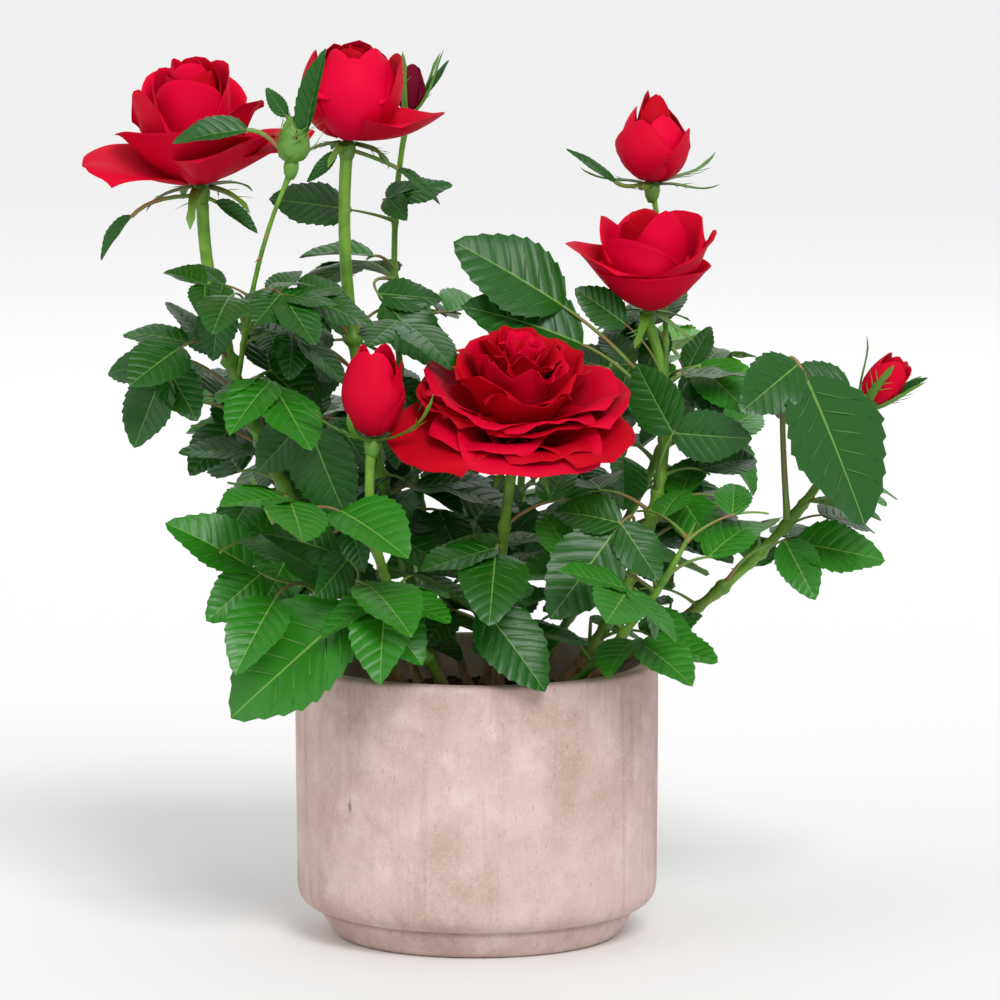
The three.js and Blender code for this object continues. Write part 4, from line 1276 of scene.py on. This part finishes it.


# "mid" is the green of leaves partway up a shoot, and also painted light on the leaves low down
LEAF_COLOURS = {
    # upper side, underside, midrib, side veins
    "dark": ((18, 82, 6), (66, 108, 44), (98, 142, 58), (60, 114, 44)),
    "mid": ((36, 116, 12), (84, 128, 54), (114, 160, 62), (76, 138, 50)),
    "fresh": ((68, 148, 20), (104, 150, 60), (138, 178, 72), (108, 170, 64)),
}
LEAFY_SEPALS = (
    # sepals that end as leaves: flower, where the bare part and where the blade ends, both from the tip of
    # the stem, the way the blade faces, its width as a share of its length
    ("green_bud", (-16, -3, 16), (-43, -7, 14), (0.1, -0.7, 0.7), 0.42),
    ("green_bud", (5.5, -3, 14), (10.6, -9, 46), (-0.5, -0.85, 0.1), 0.25),
    ("green_bud", (-1.5, 0, 21), (-9.5, 0, 31), (-0.3, -0.9, 0.2), 0.5),
    ("left_tall", (-26, -6, -4), (-39, -8, -19), (-0.2, -0.6, 0.8), 0.34),
    ("left_tall", (5, -3, 1), (21, -8, -9), (0.2, -0.8, 0.6), 0.32),
    ("mid_tall", (19, -5, -4), (37, -6, -14), (0.2, -0.6, 0.8), 0.3),
    ("mid_tall", (-4, -4, 2), (-15, -8, -9), (-0.3, -0.8, -0.4), 0.34),
    ("back_slim", (7, 0, 11), (16, -2, 24), (-0.2, -0.9, 0.2), 0.2),
    ("back_slim", (-3, 0, 11), (-4, -2, 25), (-0.2, -0.9, 0.2), 0.22),
    ("upper_right", (-14, -3, 3), (-31, -4, 17), (-0.2, -0.8, 0.6), 0.16),
    ("far_right", (12, -2, 6), (25, -2, 14), (-0.3, -0.8, 0.4), 0.2),
)
# Leaves that start lower down turn mid green sooner, as painted light where the lamp falls on them, and
# those set high up stay dark
LIT_LEAVES_BELOW = 150
FRESH_FROM = 0.95
MID_FROM_LIT, MID_FROM, MID_FROM_SET = 0.3, 0.7, 2.0
TONE_SLACK = 0.35
BIG_LEAFLET = 52
BIG_FROM = 0.5
BIG_FORM = 3
BIG_WIDER = 1.14
USUAL_WIDTH = 0.98
WIDTH_RANGE = 0.1
SET_BACK = 0.6
STALK_THICK = 0.85
STALK_TAPER = 0.4
STALK_FOOT = 0.6
STALK_SIDES = 8
SEPAL_STALK = 0.8
SEPAL_STALK_MARKS = 8
SEPAL_STALK_FOOT = vec(0, 0, 3)
SEPAL_STALK_BEND = 0.4
SEPAL_LEAF_FORMS = 3
LEAF_SEED = 77
STALK_GREEN = linear(104, 140, 58)
STALK_RUDDY = linear(138, 104, 62)
OPENINGS = (
    # where the sky shows between the leaves: x and height where the line of sight passes the stems, and
    # half the width of the opening
    (-114, 187, 6.7), (112, 162, 5.5), (120, 128, 6.1), (84, 127, 5.6), (-100, 164, 5.2), (-97, 133, 4.9),
    (-2, 224, 4.8), (-102, 143, 4.3),
)


def closes_opening(leaflet):
    """Whether a leaflet crosses a line of sight along which the sky shows."""
    spots = blade_room(leaflet)[0]
    beyond = 1 + spots[:, 1] / -VIEW_FROM[1]
    for x, z, size in OPENINGS:
        aside = spots[:, 0] - VIEW_FROM[0] - (x - VIEW_FROM[0]) * beyond
        above = spots[:, 2] - VIEW_FROM[2] - (z - VIEW_FROM[2]) * beyond
        if (np.hypot(aside, above) < size).any():
            return True
    return False


leaflet_shapes = [leaflet_shape(f"leaflet_{i}", *form) for i, form in enumerate(LEAFLET_FORMS)]
leaf_planting = planting("leaf_planting", len(leaflet_shapes), 4)
sprays = {tone: [] for tone in LEAF_COLOURS}
stalk_lines = []
leaf_roll = dice(LEAF_SEED)


def stalk_line(leaf):
    """The common stalk of a leaf, wider at its foot, as points, radii and tint."""
    count = max(6, round(leaf["reach"] / 2))
    marks = np.linspace(0, 1, count + 1)
    radii = STALK_THICK * leaf["scale"] * (1 - STALK_TAPER * marks)
    radii = radii + STALK_FOOT * np.exp(-marks * leaf["reach"] / 2)
    return np.array([leaf["stalk"](t) for t in marks]), radii, 0 * marks


for shoot in shoots.values():
    for leaf in shoot.grown:
        shown = [leaf["set"] or not closes_opening(leaflet) for leaflet in leaf["leaflets"]]
        if any(shown):
            stalk_lines.append(stalk_line(leaf))
        youth = leaf["t"] + TONE_SLACK * (leaf_roll() - 0.5)
        # Leaves low down are given the lighter mid green sooner: painted light from the lamp that falls on
        # them
        low = leaf["leaflets"][0][0][2] < LIT_LEAVES_BELOW
        mid_from = MID_FROM_LIT if low else MID_FROM_SET if leaf["set"] else MID_FROM
        fresh = youth > FRESH_FROM and not leaf["set"]
        tone = "fresh" if fresh else "mid" if youth > mid_from else "dark"
        for seen, (base, way, face, length, width) in zip(shown, leaf["leaflets"]):
            broad = length > BIG_LEAFLET and leaf["t"] > BIG_FROM
            wider = BIG_WIDER if broad else USUAL_WIDTH
            size = width * (wider + WIDTH_RANGE * leaf_roll()), length, length
            spot = base - way * SET_BACK
            kind = int(leaf_roll() * len(leaflet_shapes))
            kind = BIG_FORM if broad else kind
            if seen:
                sprays[tone].append((spot, np.cross(way, face), way, size, kind))

for name, knee, far, facing, share in LEAFY_SEPALS:
    end = shoots[name].point(1)
    foot, base, tip = end + SEPAL_STALK_FOOT, end + vec(*knee), end + vec(*far)
    length = length_of(tip - base)
    way = (tip - base) / length
    bend = base - way * (SEPAL_STALK_BEND * length_of(base - foot))
    bare = bent(foot, bend, base, np.linspace(0, 1, SEPAL_STALK_MARKS)[:, None])
    stalk_lines.append((bare, np.full(SEPAL_STALK_MARKS, SEPAL_STALK), np.zeros(SEPAL_STALK_MARKS)))
    face = square_to(vec(*facing), way)
    size = length * share, length, length
    kind = int(leaf_roll() * SEPAL_LEAF_FORMS)
    sprays["dark"].append((base - way * SET_BACK, np.cross(way, face), way, size, kind))

leaf_pieces = []
shapes = {f"Shape_{i}": shape for i, shape in enumerate(leaflet_shapes)}
# Roughness and coat of each layer, in the order of the colours
LEAF_GLOSS = (("upper", 0.38, 0.16), ("under", 0.65, 0.0), ("rib", 0.45, 0.1), ("vein", 0.45, 0.1))
for tone, colours in LEAF_COLOURS.items():
    points = places(f"places_{tone}", sprays[tone])
    finishes = {}
    for i, (layer, roughness, coat) in enumerate(LEAF_GLOSS):
        finishes[f"Finish_{i}"] = leaf_finish(f"leaf_{tone}_{layer}", colours[i], roughness, coat)
    leaf_pieces.append(leaf_planting.grow(f"leaves_{tone}", points, **shapes, **finishes))
    discard(points)
stalk_skin = Finish("leaf_stalk", Roughness=0.5)
ruddy = stalk_skin.noise(stalk_skin.place(), scale=45.0, detail=2.0, roughness=0.5)
stalk_skin.set("Base Color", stalk_skin.mix(ruddy.step(0.45, 0.65), STALK_GREEN, STALK_RUDDY))
drawn = lines("stalk_lines", stalk_lines)
stalks = sweep.grow(
    "leaf_stalks", drawn, Sides=STALK_SIDES, Relief=0.0, Relief_scale=1.0, Finish=stalk_skin.material)
smoothed(stalks.data)
leaf_pieces.append(stalks)
discard(drawn, *leaflet_shapes)
for piece in leaf_pieces:
    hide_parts(*[f"foliage_{name}" for name in SHOOTS])
    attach(piece, "root")


# Flowers. Double roses of soft velvety crimson petals, from open blooms to shut buds, each on a green hip
# with five long sepals. A petal is a thin cupped sheet whose rim rolls outward.
PETAL_ROWS = 14
PETAL_COLUMNS = 15
PETAL_THICK = 0.5
PETAL_FOOT = 0.02
PETAL_WIDEST = 0.62
CURL_LEAST = 7
LENGTH_LEAST, LENGTH_RANGE = 0.95, 0.1
BREADTH_LEAST, BREADTH_RANGE = 0.93, 0.14
ANGLE_SLACK = (5, 8, 16)
ROWS_CROWD = 1.5
SIDES_DIP = 0.14
SIDE_ROLL, RIM_ROLL = 0.8, 0.9
BROAD_WAVES, FINE_WAVES = 3.5, 9
LAYERS = {
    # layers of petals from the outside in: count, length, width, angles from the axis at foot, middle and
    # tip, start radius, first bearing in degrees, cupping as a share of the radius, rim roll, point, bank
    # in degrees, ruffle, colour
    "cone": (
        (1, 35, 62, 70, 34, 14, 3.0, -112, 1.7, 2.2, 0.14, 0, 0.6, "outer"),
        (1, 38, 54, 76, 50, 44, 3.0, -44, 1.5, 2.6, 0.18, 0, 0.6, "outer"),
        (1, 42, 36, 76, 62, 72, 3.0, 186, 1.2, 3.5, 0.08, -12, 0.8, "outer"),
        (1, 43, 38, 76, 66, 70, 3.0, 4, 1.2, 3.0, 0.2, 0, 0.8, "outer"),
        (1, 42, 42, 66, 58, 66, 3.0, 95, 1.2, 3.0, 0.2, 0, 0.8, "outer"),
        (1, 47, 30, 60, 22, -2, 2.8, 206, 1.1, 2.2, 0.36, 0, 0.5, "outer"),
        (1, 39, 40, 60, 26, 12, 2.8, -28, 1.1, 3.0, 0.14, 0, 0.5, "outer"),
        (1, 42, 40, 60, 20, 10, 2.8, 70, 1.1, 2.6, 0.2, 0, 0.5, "middle"),
        (1, 43, 40, 60, 18, 6, 2.8, 120, 1.1, 2.6, 0.2, 0, 0.5, "middle"),
        (3, 45, 42, 50, 12, -10, 2.4, -98, 0.98, 1.6, 0.2, 0, 0.4, "middle"),
        (3, 46, 38, 38, 5, -12, 2.0, -40, 0.95, 1.4, 0.18, 0, 0.4, "inner"),
        (3, 46, 28, 26, 0, -12, 1.6, -80, 0.9, 1.0, 0.16, 0, 0.3, "middle"),
        (2, 45, 18, 12, -2, -8, 1.0, 0, 0.9, 0.8, 0.2, 0, 0.2, "inner"),
    ),
    "globe": (
        (1, 36, 40, 84, 66, 36, 2.6, -18, 1.2, 1.6, 0.24, 0, 0.4, "outer"),
        (1, 40, 34, 84, 16, -34, 2.6, 172, 1.0, 1.4, 0.12, 0, 0.4, "outer"),
        (1, 39, 34, 84, 16, -32, 2.6, 6, 1.0, 1.6, 0.1, 0, 0.4, "outer"),
        (3, 43, 60, 86, 13, -46, 2.4, -92, 1.0, 1.2, 0.1, 0, 0.3, "middle"),
        (3, 41, 48, 70, 6, -42, 2.0, -35, 0.95, 1.0, 0.14, 0, 0.3, "middle"),
        (3, 38, 36, 50, 2, -34, 1.6, 10, 0.9, 0.9, 0.2, 0, 0.3, "inner"),
        (3, 35, 20, 26, -2, -14, 1.0, 60, 0.9, 0.7, 0.2, 0, 0.2, "inner"),
    ),
    "cup": (
        (1, 40, 44, 70, 38, 48, 2.6, 196, 1.1, 2.4, 0.46, 0, 0.5, "outer"),
        (1, 26, 60, 80, 42, 22, 2.6, -84, 1.4, 1.2, 0.1, 0, 0.5, "outer"),
        (1, 38, 42, 70, 30, 14, 2.6, -14, 1.1, 3.0, 0.2, 0, 1.3, "outer"),
        (1, 36, 42, 68, 24, 4, 2.4, -124, 1.1, 1.6, 0.3, 0, 0.4, "middle"),
        (1, 39, 38, 62, 24, 20, 2.4, 42, 1.1, 2.8, 0.24, 0, 1.1, "outer"),
        (1, 43, 36, 58, 12, 0, 2.2, -66, 1.0, 1.4, 0.5, 0, 0.4, "middle"),
        (1, 38, 38, 58, 20, 12, 2.4, 98, 1.0, 1.8, 0.4, 0, 0.4, "middle"),
        (1, 38, 36, 58, 20, 14, 2.4, 150, 1.1, 2.2, 0.46, 0, 0.5, "middle"),
        (3, 37, 30, 44, 8, -4, 2.0, -30, 1.0, 1.6, 0.36, 0, 0.4, "inner"),
        (3, 33, 20, 26, -2, -4, 1.2, 30, 0.9, 1.0, 0.3, 0, 0.3, "inner"),
    ),
    "rosette": (
        (1, 46, 50, 70, 80, 98, 3.2, -142, 1.3, 4.5, 0.06, 0, 1.2, "inner"),
        (1, 43, 56, 74, 74, 84, 3.2, -88, 1.4, 4.5, 0.08, 0, 1.2, "outer"),
        (1, 44, 50, 72, 70, 74, 3.2, -38, 1.3, 4.5, 0.08, 0, 1.2, "inner"),
        (1, 43, 54, 66, 54, 32, 3.2, 0, 1.15, 4.0, 0.1, 0, 1.0, "outer"),
        (1, 40, 46, 66, 56, 44, 3.2, 190, 1.15, 4.0, 0.1, 0, 1.2, "inner"),
        (3, 38, 46, 64, 52, 46, 3.2, 50, 1.1, 4.0, 0.1, 0, 1.2, "inner"),
        (1, 41, 48, 70, 64, 62, 3.2, -112, 1.2, 4.5, 0.08, 0, 1.2, "outer"),
        (1, 41, 46, 70, 62, 58, 3.2, -62, 1.2, 4.5, 0.08, 0, 1.2, "inner"),
        (5, 40, 46, 60, 46, 38, 2.8, -62, 1.1, 4.2, 0.1, 0, 1.6, "outer"),
        (6, 41, 38, 52, 28, 24, 2.6, -85, 1.0, 3.8, 0.08, 0, 2.2, "inner"),
        (6, 41, 32, 42, 16, 18, 2.4, -50, 0.95, 3.4, 0.06, 0, 2.6, "outer"),
        (6, 42, 25, 28, 8, 18, 1.8, -75, 0.85, 3.0, 0.06, 0, 2.5, "inner"),
        (5, 42, 18, 15, 1, 16, 1.2, -40, 0.8, 2.4, 0.06, 0, 2.0, "middle"),
        (4, 41, 12, 6, -4, 12, 0.8, 0, 0.8, 1.8, 0.06, 0, 1.0, "inner"),
    ),
    "bud": (
        (1, 32, 30, 68, 8, -14, 2.0, 0, 0.98, 1.6, 0.44, 0, 0.3, "outer"),
        (2, 35, 36, 70, 6, -32, 2.0, 236, 0.98, 0.9, 0.44, 0, 0.2, "outer"),
        (3, 35, 28, 54, 1, -30, 1.6, 40, 0.95, 0.6, 0.42, 0, 0.2, "middle"),
        (3, 33, 22, 38, -2, -20, 1.2, 100, 0.9, 0.5, 0.4, 0, 0.2, "inner"),
    ),
    "pointed_bud": (
        (1, 27, 34, 86, 20, -14, 2.0, -16, 0.98, 1.6, 0.3, 0, 0.4, "outer"),
        (2, 33, 40, 86, 12, -52, 2.0, -120, 0.98, 0.6, 0.5, 0, 0.2, "outer"),
        (3, 34, 34, 76, 6, -46, 1.8, -60, 0.95, 0.5, 0.56, 0, 0.2, "middle"),
        (3, 35, 20, 40, 2, -24, 1.0, 40, 0.9, 0.4, 0.5, 0, 0.2, "inner"),
    ),
    "small_rose": (
        (3, 23, 20, 58, 2, -22, 1.4, 30, 0.95, 0.6, 0.4, 0, 0.2, "outer"),
        (3, 23, 17, 40, -2, -20, 1.0, 90, 0.95, 0.4, 0.4, 0, 0.2, "inner"),
    ),
    "small_bud": (
        (3, 18, 14, 48, 0, -26, 1.0, 30, 0.95, 0.3, 0.44, 0, 0.1, "dusky"),
        (2, 18, 12, 30, -2, -18, 0.8, 80, 0.95, 0.2, 0.4, 0, 0.1, "dusky"),
    ),
    "green_bud": ((3, 15, 12, 44, 0, -26, 1.0, 30, 0.95, 0.2, 0.44, 0, 0.1, "inner"),),
}
SEPALS = {
    # length, half-width, angles from the axis at foot, middle and tip
    "cone": (21, 3.0, 98, 108, 150),
    "globe": (19, 2.7, 100, 108, 150),
    "cup": (20, 2.4, 108, 114, 130),
    "rosette": (20, 2.6, 116, 124, 140),
    "bud": (31, 2.4, 78, 60, 26),
    "pointed_bud": (27, 2.2, 70, 84, 50),
    "small_rose": (24, 2.4, 50, 16, 34),
    "small_bud": (26, 1.6, 50, 14, 20),
    "green_bud": (19, 5.6, 70, -8, -14),
}
LOOKS = {
    # kind, lean and turn of the blooms that differ from those the leaves make room for
    "left_tall": ("cone", (-0.1, -0.16, 1), 0),
    "mid_tall": ("globe", (0.08, -0.1, 1), 0),
    "centre": ("rosette", (0.06, -0.34, 1), 0),
    "upper_right": ("pointed_bud", (0.02, -0.1, 1), 0),
    "far_right": ("small_rose", (0.75, -0.05, 1), 0),
}
HIPS = {
    # radius of the green hip, and how far above the end of the stem the petals start
    "cone": (3.3, 6.5),
    "globe": (3.3, 5.0),
    "cup": (3.2, 3.5),
    "rosette": (3.2, 5.5),
    "bud": (3.0, 1.5),
    "pointed_bud": (3.0, 1.5),
    "small_rose": (2.8, 2.0),
    "small_bud": (2.3, 3.0),
    "green_bud": (2.8, 4.0),
}
HIP_PROFILE = ((0, -2.3), (0.5, -2.2), (0.85, -1.5), (1, -0.7), (0.92, 0), (0.6, 0.3), (0, 0.42))
HIP_FACETS = 16
LINE_STEPS = 40
LINE_LIFT = 1.5


def curve_line(length, foot, middle, tip, start, marks):
    """Radius, height and angle from the axis at marks along a petal's middle line."""
    fine = np.linspace(0, 1, LINE_STEPS + 1)
    angle = foot * (1 - fine) * (1 - 2 * fine) + middle * 4 * fine * (1 - fine) + tip * fine * (2 * fine - 1)
    angle = np.radians(angle)
    step = length / LINE_STEPS
    radius = start + np.concatenate(([0], np.cumsum(np.sin((angle[1:] + angle[:-1]) / 2) * step)))
    height = LINE_LIFT + np.concatenate(([0], np.cumsum(np.cos((angle[1:] + angle[:-1]) / 2) * step)))
    return tuple(np.interp(marks, fine, line) for line in (radius, height, angle))


SHARP_FROM = math.radians(60)


class Sheets:
    """Thin closed sheets gathered into one mesh."""

    def __init__(self):
        self.points, self.faces = [], []

    def add(self, middle, thick):
        """A grid of points, rows by columns, given a thickness that runs out at its margin."""
        rows, columns = middle.shape[:2]
        along = np.gradient(middle, axis=0)
        across = np.gradient(middle, axis=1)
        normal = np.cross(across, along)
        normal /= np.sqrt((normal**2).sum(2, keepdims=True)) + 1e-9
        margin = np.zeros((rows, columns), bool)
        margin[[0, -1]] = margin[:, [0, -1]] = True
        half = np.where(margin, 0, thick / 2)[..., None]
        at = len(self.points)
        top = at + np.arange(rows * columns).reshape(rows, columns)
        inner = np.full((rows, columns), -1)
        inner[~margin] = at + rows * columns + np.arange((~margin).sum())
        low = np.where(margin, top, inner)
        self.points += [*(middle + normal * half).reshape(-1, 3), *(middle - normal * half)[~margin]]
        for sheet, order in ((top, 1), (low, -1)):
            a, b, c, d = sheet[:-1, :-1], sheet[:-1, 1:], sheet[1:, 1:], sheet[1:, :-1]
            quads = np.stack((a, b, c, d), -1).reshape(-1, 4)[:, ::order]
            self.faces += [tuple(int(i) for i in quad) for quad in quads]

    def turned(self, place, profile, facets):
        """A closed round body on the axis of a flower."""
        points, faces = turned(profile, facets)
        at = len(self.points)
        spots = np.array([tuple(p) for p in points]) / MM
        self.points += [*place(spots[:, 0], spots[:, 1], spots[:, 2])]
        self.faces += [tuple(at + i for i in face) for face in faces]

    def piece(self, name, material):
        made = new_piece(name, [p * MM for p in self.points], self.faces, material)
        made.data.set_sharp_from_angle(angle=SHARP_FROM)
        return made


def around(place, bearing, out, sideways, up):
    """Points given by how far out, sideways and up they lie, turned to a bearing on a flower's axis."""
    c, s = math.cos(bearing), math.sin(bearing)
    return place(out * c - sideways * s, out * s + sideways * c, up)


def set_petal(sheets, place, layer, bearing, roll):
    """One petal of a layer: a grid of rows that crowd towards its rim, bent, cupped and rolled out."""
    _, length, width, foot, middle, tip, start, _, cupping, rim, point, bank, ruffle, _ = layer
    length *= LENGTH_LEAST + LENGTH_RANGE * roll()
    width *= BREADTH_LEAST + BREADTH_RANGE * roll()
    foot, middle, tip = (a + slack * (roll() - 0.5) for a, slack in zip((foot, middle, tip), ANGLE_SLACK))
    phase, skew = roll() * math.tau, 0.5 * (roll() - 0.5)
    # v runs up the petal and u across it; the rim dips at both sides, and a little at random
    v = 1 - (1 - np.linspace(PETAL_FOOT, 1, PETAL_ROWS)[:, None]) ** ROWS_CROWD
    u = np.sin(math.pi / 2 * np.linspace(-1, 1, PETAL_COLUMNS)[None])
    uneven = 0.04 * skew * u + 0.016 * ruffle * np.sin(5 * u + phase)
    s = v * (1 - (SIDES_DIP + point * 0.5) * np.abs(u) ** (2.6 - 2 * point) + uneven)
    radius, height, angle = curve_line(length, foot, middle, tip, start, s)
    half = width / 2 * np.sin(math.pi / 2 * np.minimum(1, v / PETAL_WIDEST) ** 0.85) * (1 - 0.12 * v**6)
    # cupped round a cylinder, then the sides and the rim roll outward and the rim is ruffled
    curl = np.maximum(CURL_LEAST, cupping * radius)
    arc = u * half / curl
    sideways = curl * np.sin(arc)
    inward = curl * (1 - np.cos(arc))
    inward = inward - rim * (SIDE_ROLL * np.abs(u) ** 5 * v**2 + RIM_ROLL * v**9)
    fine_ruffle = 0.5 * np.sin(FINE_WAVES * u - phase) * v**4
    inward = inward + ruffle * (np.sin(BROAD_WAVES * u + phase) * v**3 + fine_ruffle)
    out = radius - inward * np.cos(angle)
    up = height + inward * np.sin(angle) + sideways * math.sin(math.radians(bank))
    sideways = sideways * math.cos(math.radians(bank))
    sheets.add(around(place, bearing, out, sideways, up), PETAL_THICK)


SEPAL_ROWS = 12
SEPAL_COLUMNS = 5
SEPAL_THICK = 0.45
SEPAL_LEAST, SEPAL_RANGE = 0.88, 0.24
MIDDLE_SLACK, TIP_SLACK, TURN_SLACK = 16, 40, 0.25
LOBES_AT = (0.3, 0.45, 0.58)
LOBE_MISSING = 0.55
LOBE_THICK = 0.3
LOBE_ROWS = 4
LOBE_COLUMNS = 3


def set_sepal(sheets, place, form, bearing, roll, start, down):
    """One sepal: a narrow blade with a small leafy end and a few thin side lobes."""
    length, half_width, foot, middle, tip = form
    length *= SEPAL_LEAST + SEPAL_RANGE * roll()
    middle += MIDDLE_SLACK * (roll() - 0.5)
    tip += TIP_SLACK * (roll() - 0.5)
    bearing += TURN_SLACK * (roll() - 0.5)
    v = np.linspace(0, 1, SEPAL_ROWS)[:, None]
    u = np.linspace(-1, 1, SEPAL_COLUMNS)[None]
    radius, height, angle = curve_line(length, foot, middle, tip, start, v)
    leafy_end = 0.25 + 0.5 * roll()
    blade = (1 - v) ** 0.9 * (0.75 + 0.5 * v)
    half = half_width * (blade + leafy_end * np.exp(-(((v - 0.82) / 0.1) ** 2)) * 0.45 + 0.06)
    inward = 0.35 * half * (np.abs(u) ** 1.5)
    sideways = u * half + 0.8 * np.sin(3 * v + roll() * 6) * v
    out = radius - inward * np.cos(angle)
    up = height + inward * np.sin(angle) - down
    sheets.add(around(place, bearing, out, sideways, up), SEPAL_THICK)
    for share in LOBES_AT:
        for hand in (-1, 1):
            if roll() < LOBE_MISSING:
                continue
            i = round(share * (SEPAL_ROWS - 1))
            lobe = np.linspace(0, 1, LOBE_ROWS)[:, None]
            wide = np.linspace(-1, 1, LOBE_COLUMNS)[None]
            reach = half_width * (1.1 + 1.3 * roll())
            side = hand * (half[i] * 0.6 + reach * lobe) + sideways[i, SEPAL_COLUMNS // 2]
            far = np.clip(share + (reach * 0.9 * lobe + 0.45 * wide * (1 - lobe)) / length, 0, 1)
            out, up, _ = curve_line(length, foot, middle, tip, start, far)
            grid = around(place, bearing, out, side + 0 * wide, up - down + 0.6 * lobe)
            sheets.add(grid if hand > 0 else grid[:, ::-1], LOBE_THICK)


def velvet(name, colour):
    """Petal skin in one plain colour, matt and very finely grained."""
    petal = Finish(name, Base_Color=plain(*colour), Roughness=0.6, IOR=1.35, Specular_IOR_Level=0.12)
    grain = petal.noise(petal.place(), scale=500.0, detail=4.0, roughness=0.6)
    petal.relief(grain, distance=0.00012, strength=0.35)
    return petal.material


PETAL_COLOURS = {
    "outer": (202, 2, 42),
    "middle": (216, 2, 52),
    "inner": (184, 2, 26),
    "dusky": (104, 8, 36),
}
CALYX_GREEN = (88, 136, 44)
SEPALS_EACH = 5
SEPALS_START = 0.75
SEPALS_DOWN = 1.5
PETAL_TURN_SLACK = 0.3
FLOWER_SEED, FLOWER_SEED_STEP = 3, 7

petals = {layer: Sheets() for layer in PETAL_COLOURS}
calyxes = Sheets()
for name, usual in FLOWERS.items():
    kind, lean, turn = LOOKS.get(name, usual)
    hip, lift = HIPS[kind]
    frame_of = flower_frame(shoots[name], lean, turn)

    def place(x, y, z, frame_of=frame_of, lift=lift):
        return frame_of(x, y, np.asarray(z) + lift)

    roll = dice(shoots[name].seed * FLOWER_SEED_STEP + FLOWER_SEED)
    for layer in LAYERS[kind]:
        for i in range(layer[0]):
            turned_by = i * math.tau / layer[0]
            bearing = math.radians(layer[7]) + turned_by + PETAL_TURN_SLACK * (roll() - 0.5)
            set_petal(petals[layer[-1]], place, layer, bearing, roll)
    calyxes.turned(place, [(out * hip, up * hip) for out, up in HIP_PROFILE], HIP_FACETS)
    for i in range(SEPALS_EACH):
        bearing = (i + 0.5) * math.tau / SEPALS_EACH
        set_sepal(calyxes, place, SEPALS[kind], bearing, roll, start=SEPALS_START * hip, down=SEPALS_DOWN)

calyx_skin = Finish("calyx", Base_Color=plain(*CALYX_GREEN), Roughness=0.5)
flower_pieces = []
for layer, colour in PETAL_COLOURS.items():
    flower_pieces.append(petals[layer].piece(f"petals_{layer}", velvet(f"petal_{layer}", colour)))
flower_pieces.append(calyxes.piece("calyxes", calyx_skin.material))
for piece in flower_pieces:
    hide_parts(*[f"flower_{name}" for name in FLOWERS])
    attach(piece, "root")


# Floor, light and camera. A plain pale floor, a broad soft sun high at the front right, weaker lamps from
# the left and from behind, and a long lens from where the photograph was taken.
FLOOR_RADIUS = 14.0
FLOOR_SIDES = 64
FLOOR_PALE = (0.84, 0.84, 0.84, 1)
WHITE = (1, 1, 1, 1)
SKY_STRENGTH = 0.66
LIGHT_AIM = (0, 0, 0.15)
LIGHTS = (
    # name, kind, place, size or angle, power
    ("key_light", "SUN", (0.42, -1.6, 1.55), 0.42, 1.88),
    ("fill_light", "AREA", (-1.6, -1.0, 1.1), 1.8, 7),
    ("back_light", "AREA", (0.3, 1.7, 1.5), 1.6, 6),
)
CAMERA_PLACE = tuple(part * MM for part in VIEW_FROM)
CAMERA_AIM = (0.0085, 0, 0.1625)
CAMERA_LENS = 254.0
SENSOR_WIDTH = 36

pale = Finish("pale_floor", Base_Color=FLOOR_PALE, Roughness=0.9)
bearings = np.arange(FLOOR_SIDES) * math.tau / FLOOR_SIDES
ring = [(FLOOR_RADIUS * math.cos(a), FLOOR_RADIUS * math.sin(a), 0) for a in bearings]
floor = new_piece("floor", ring, [tuple(range(FLOOR_SIDES))], pale.material, smooth=False)
floor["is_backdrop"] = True

bpy.context.scene.view_settings.view_transform = "Standard"
world = bpy.data.worlds.new("studio")
world.use_nodes = True
sky = world.node_tree.nodes["Background"]
sky.inputs["Color"].default_value = WHITE
sky.inputs["Strength"].default_value = SKY_STRENGTH
bpy.context.scene.world = world
for name, kind, spot, size, power in LIGHTS:
    light = bpy.data.lights.new(name, kind)
    setattr(light, "angle" if kind == "SUN" else "size", size)
    light.energy = power
    lamp = bpy.data.objects.new(name, light)
    lamp.location = spot
    lamp.rotation_euler = (Vector(LIGHT_AIM) - Vector(spot)).to_track_quat("-Z", "Y").to_euler()
    bpy.context.scene.collection.objects.link(lamp)

lens = bpy.data.cameras.new("camera")
lens.lens = CAMERA_LENS
lens.sensor_width = SENSOR_WIDTH
camera = bpy.data.objects.new("camera", lens)
camera.location = CAMERA_PLACE
camera.rotation_euler = (Vector(CAMERA_AIM) - Vector(CAMERA_PLACE)).to_track_quat("-Z", "Y").to_euler()
bpy.context.scene.collection.objects.link(camera)
bpy.context.scene.camera = camera

sizes = {"cad": [list(v) for v in cad_box], "scene": [list(v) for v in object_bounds()]}
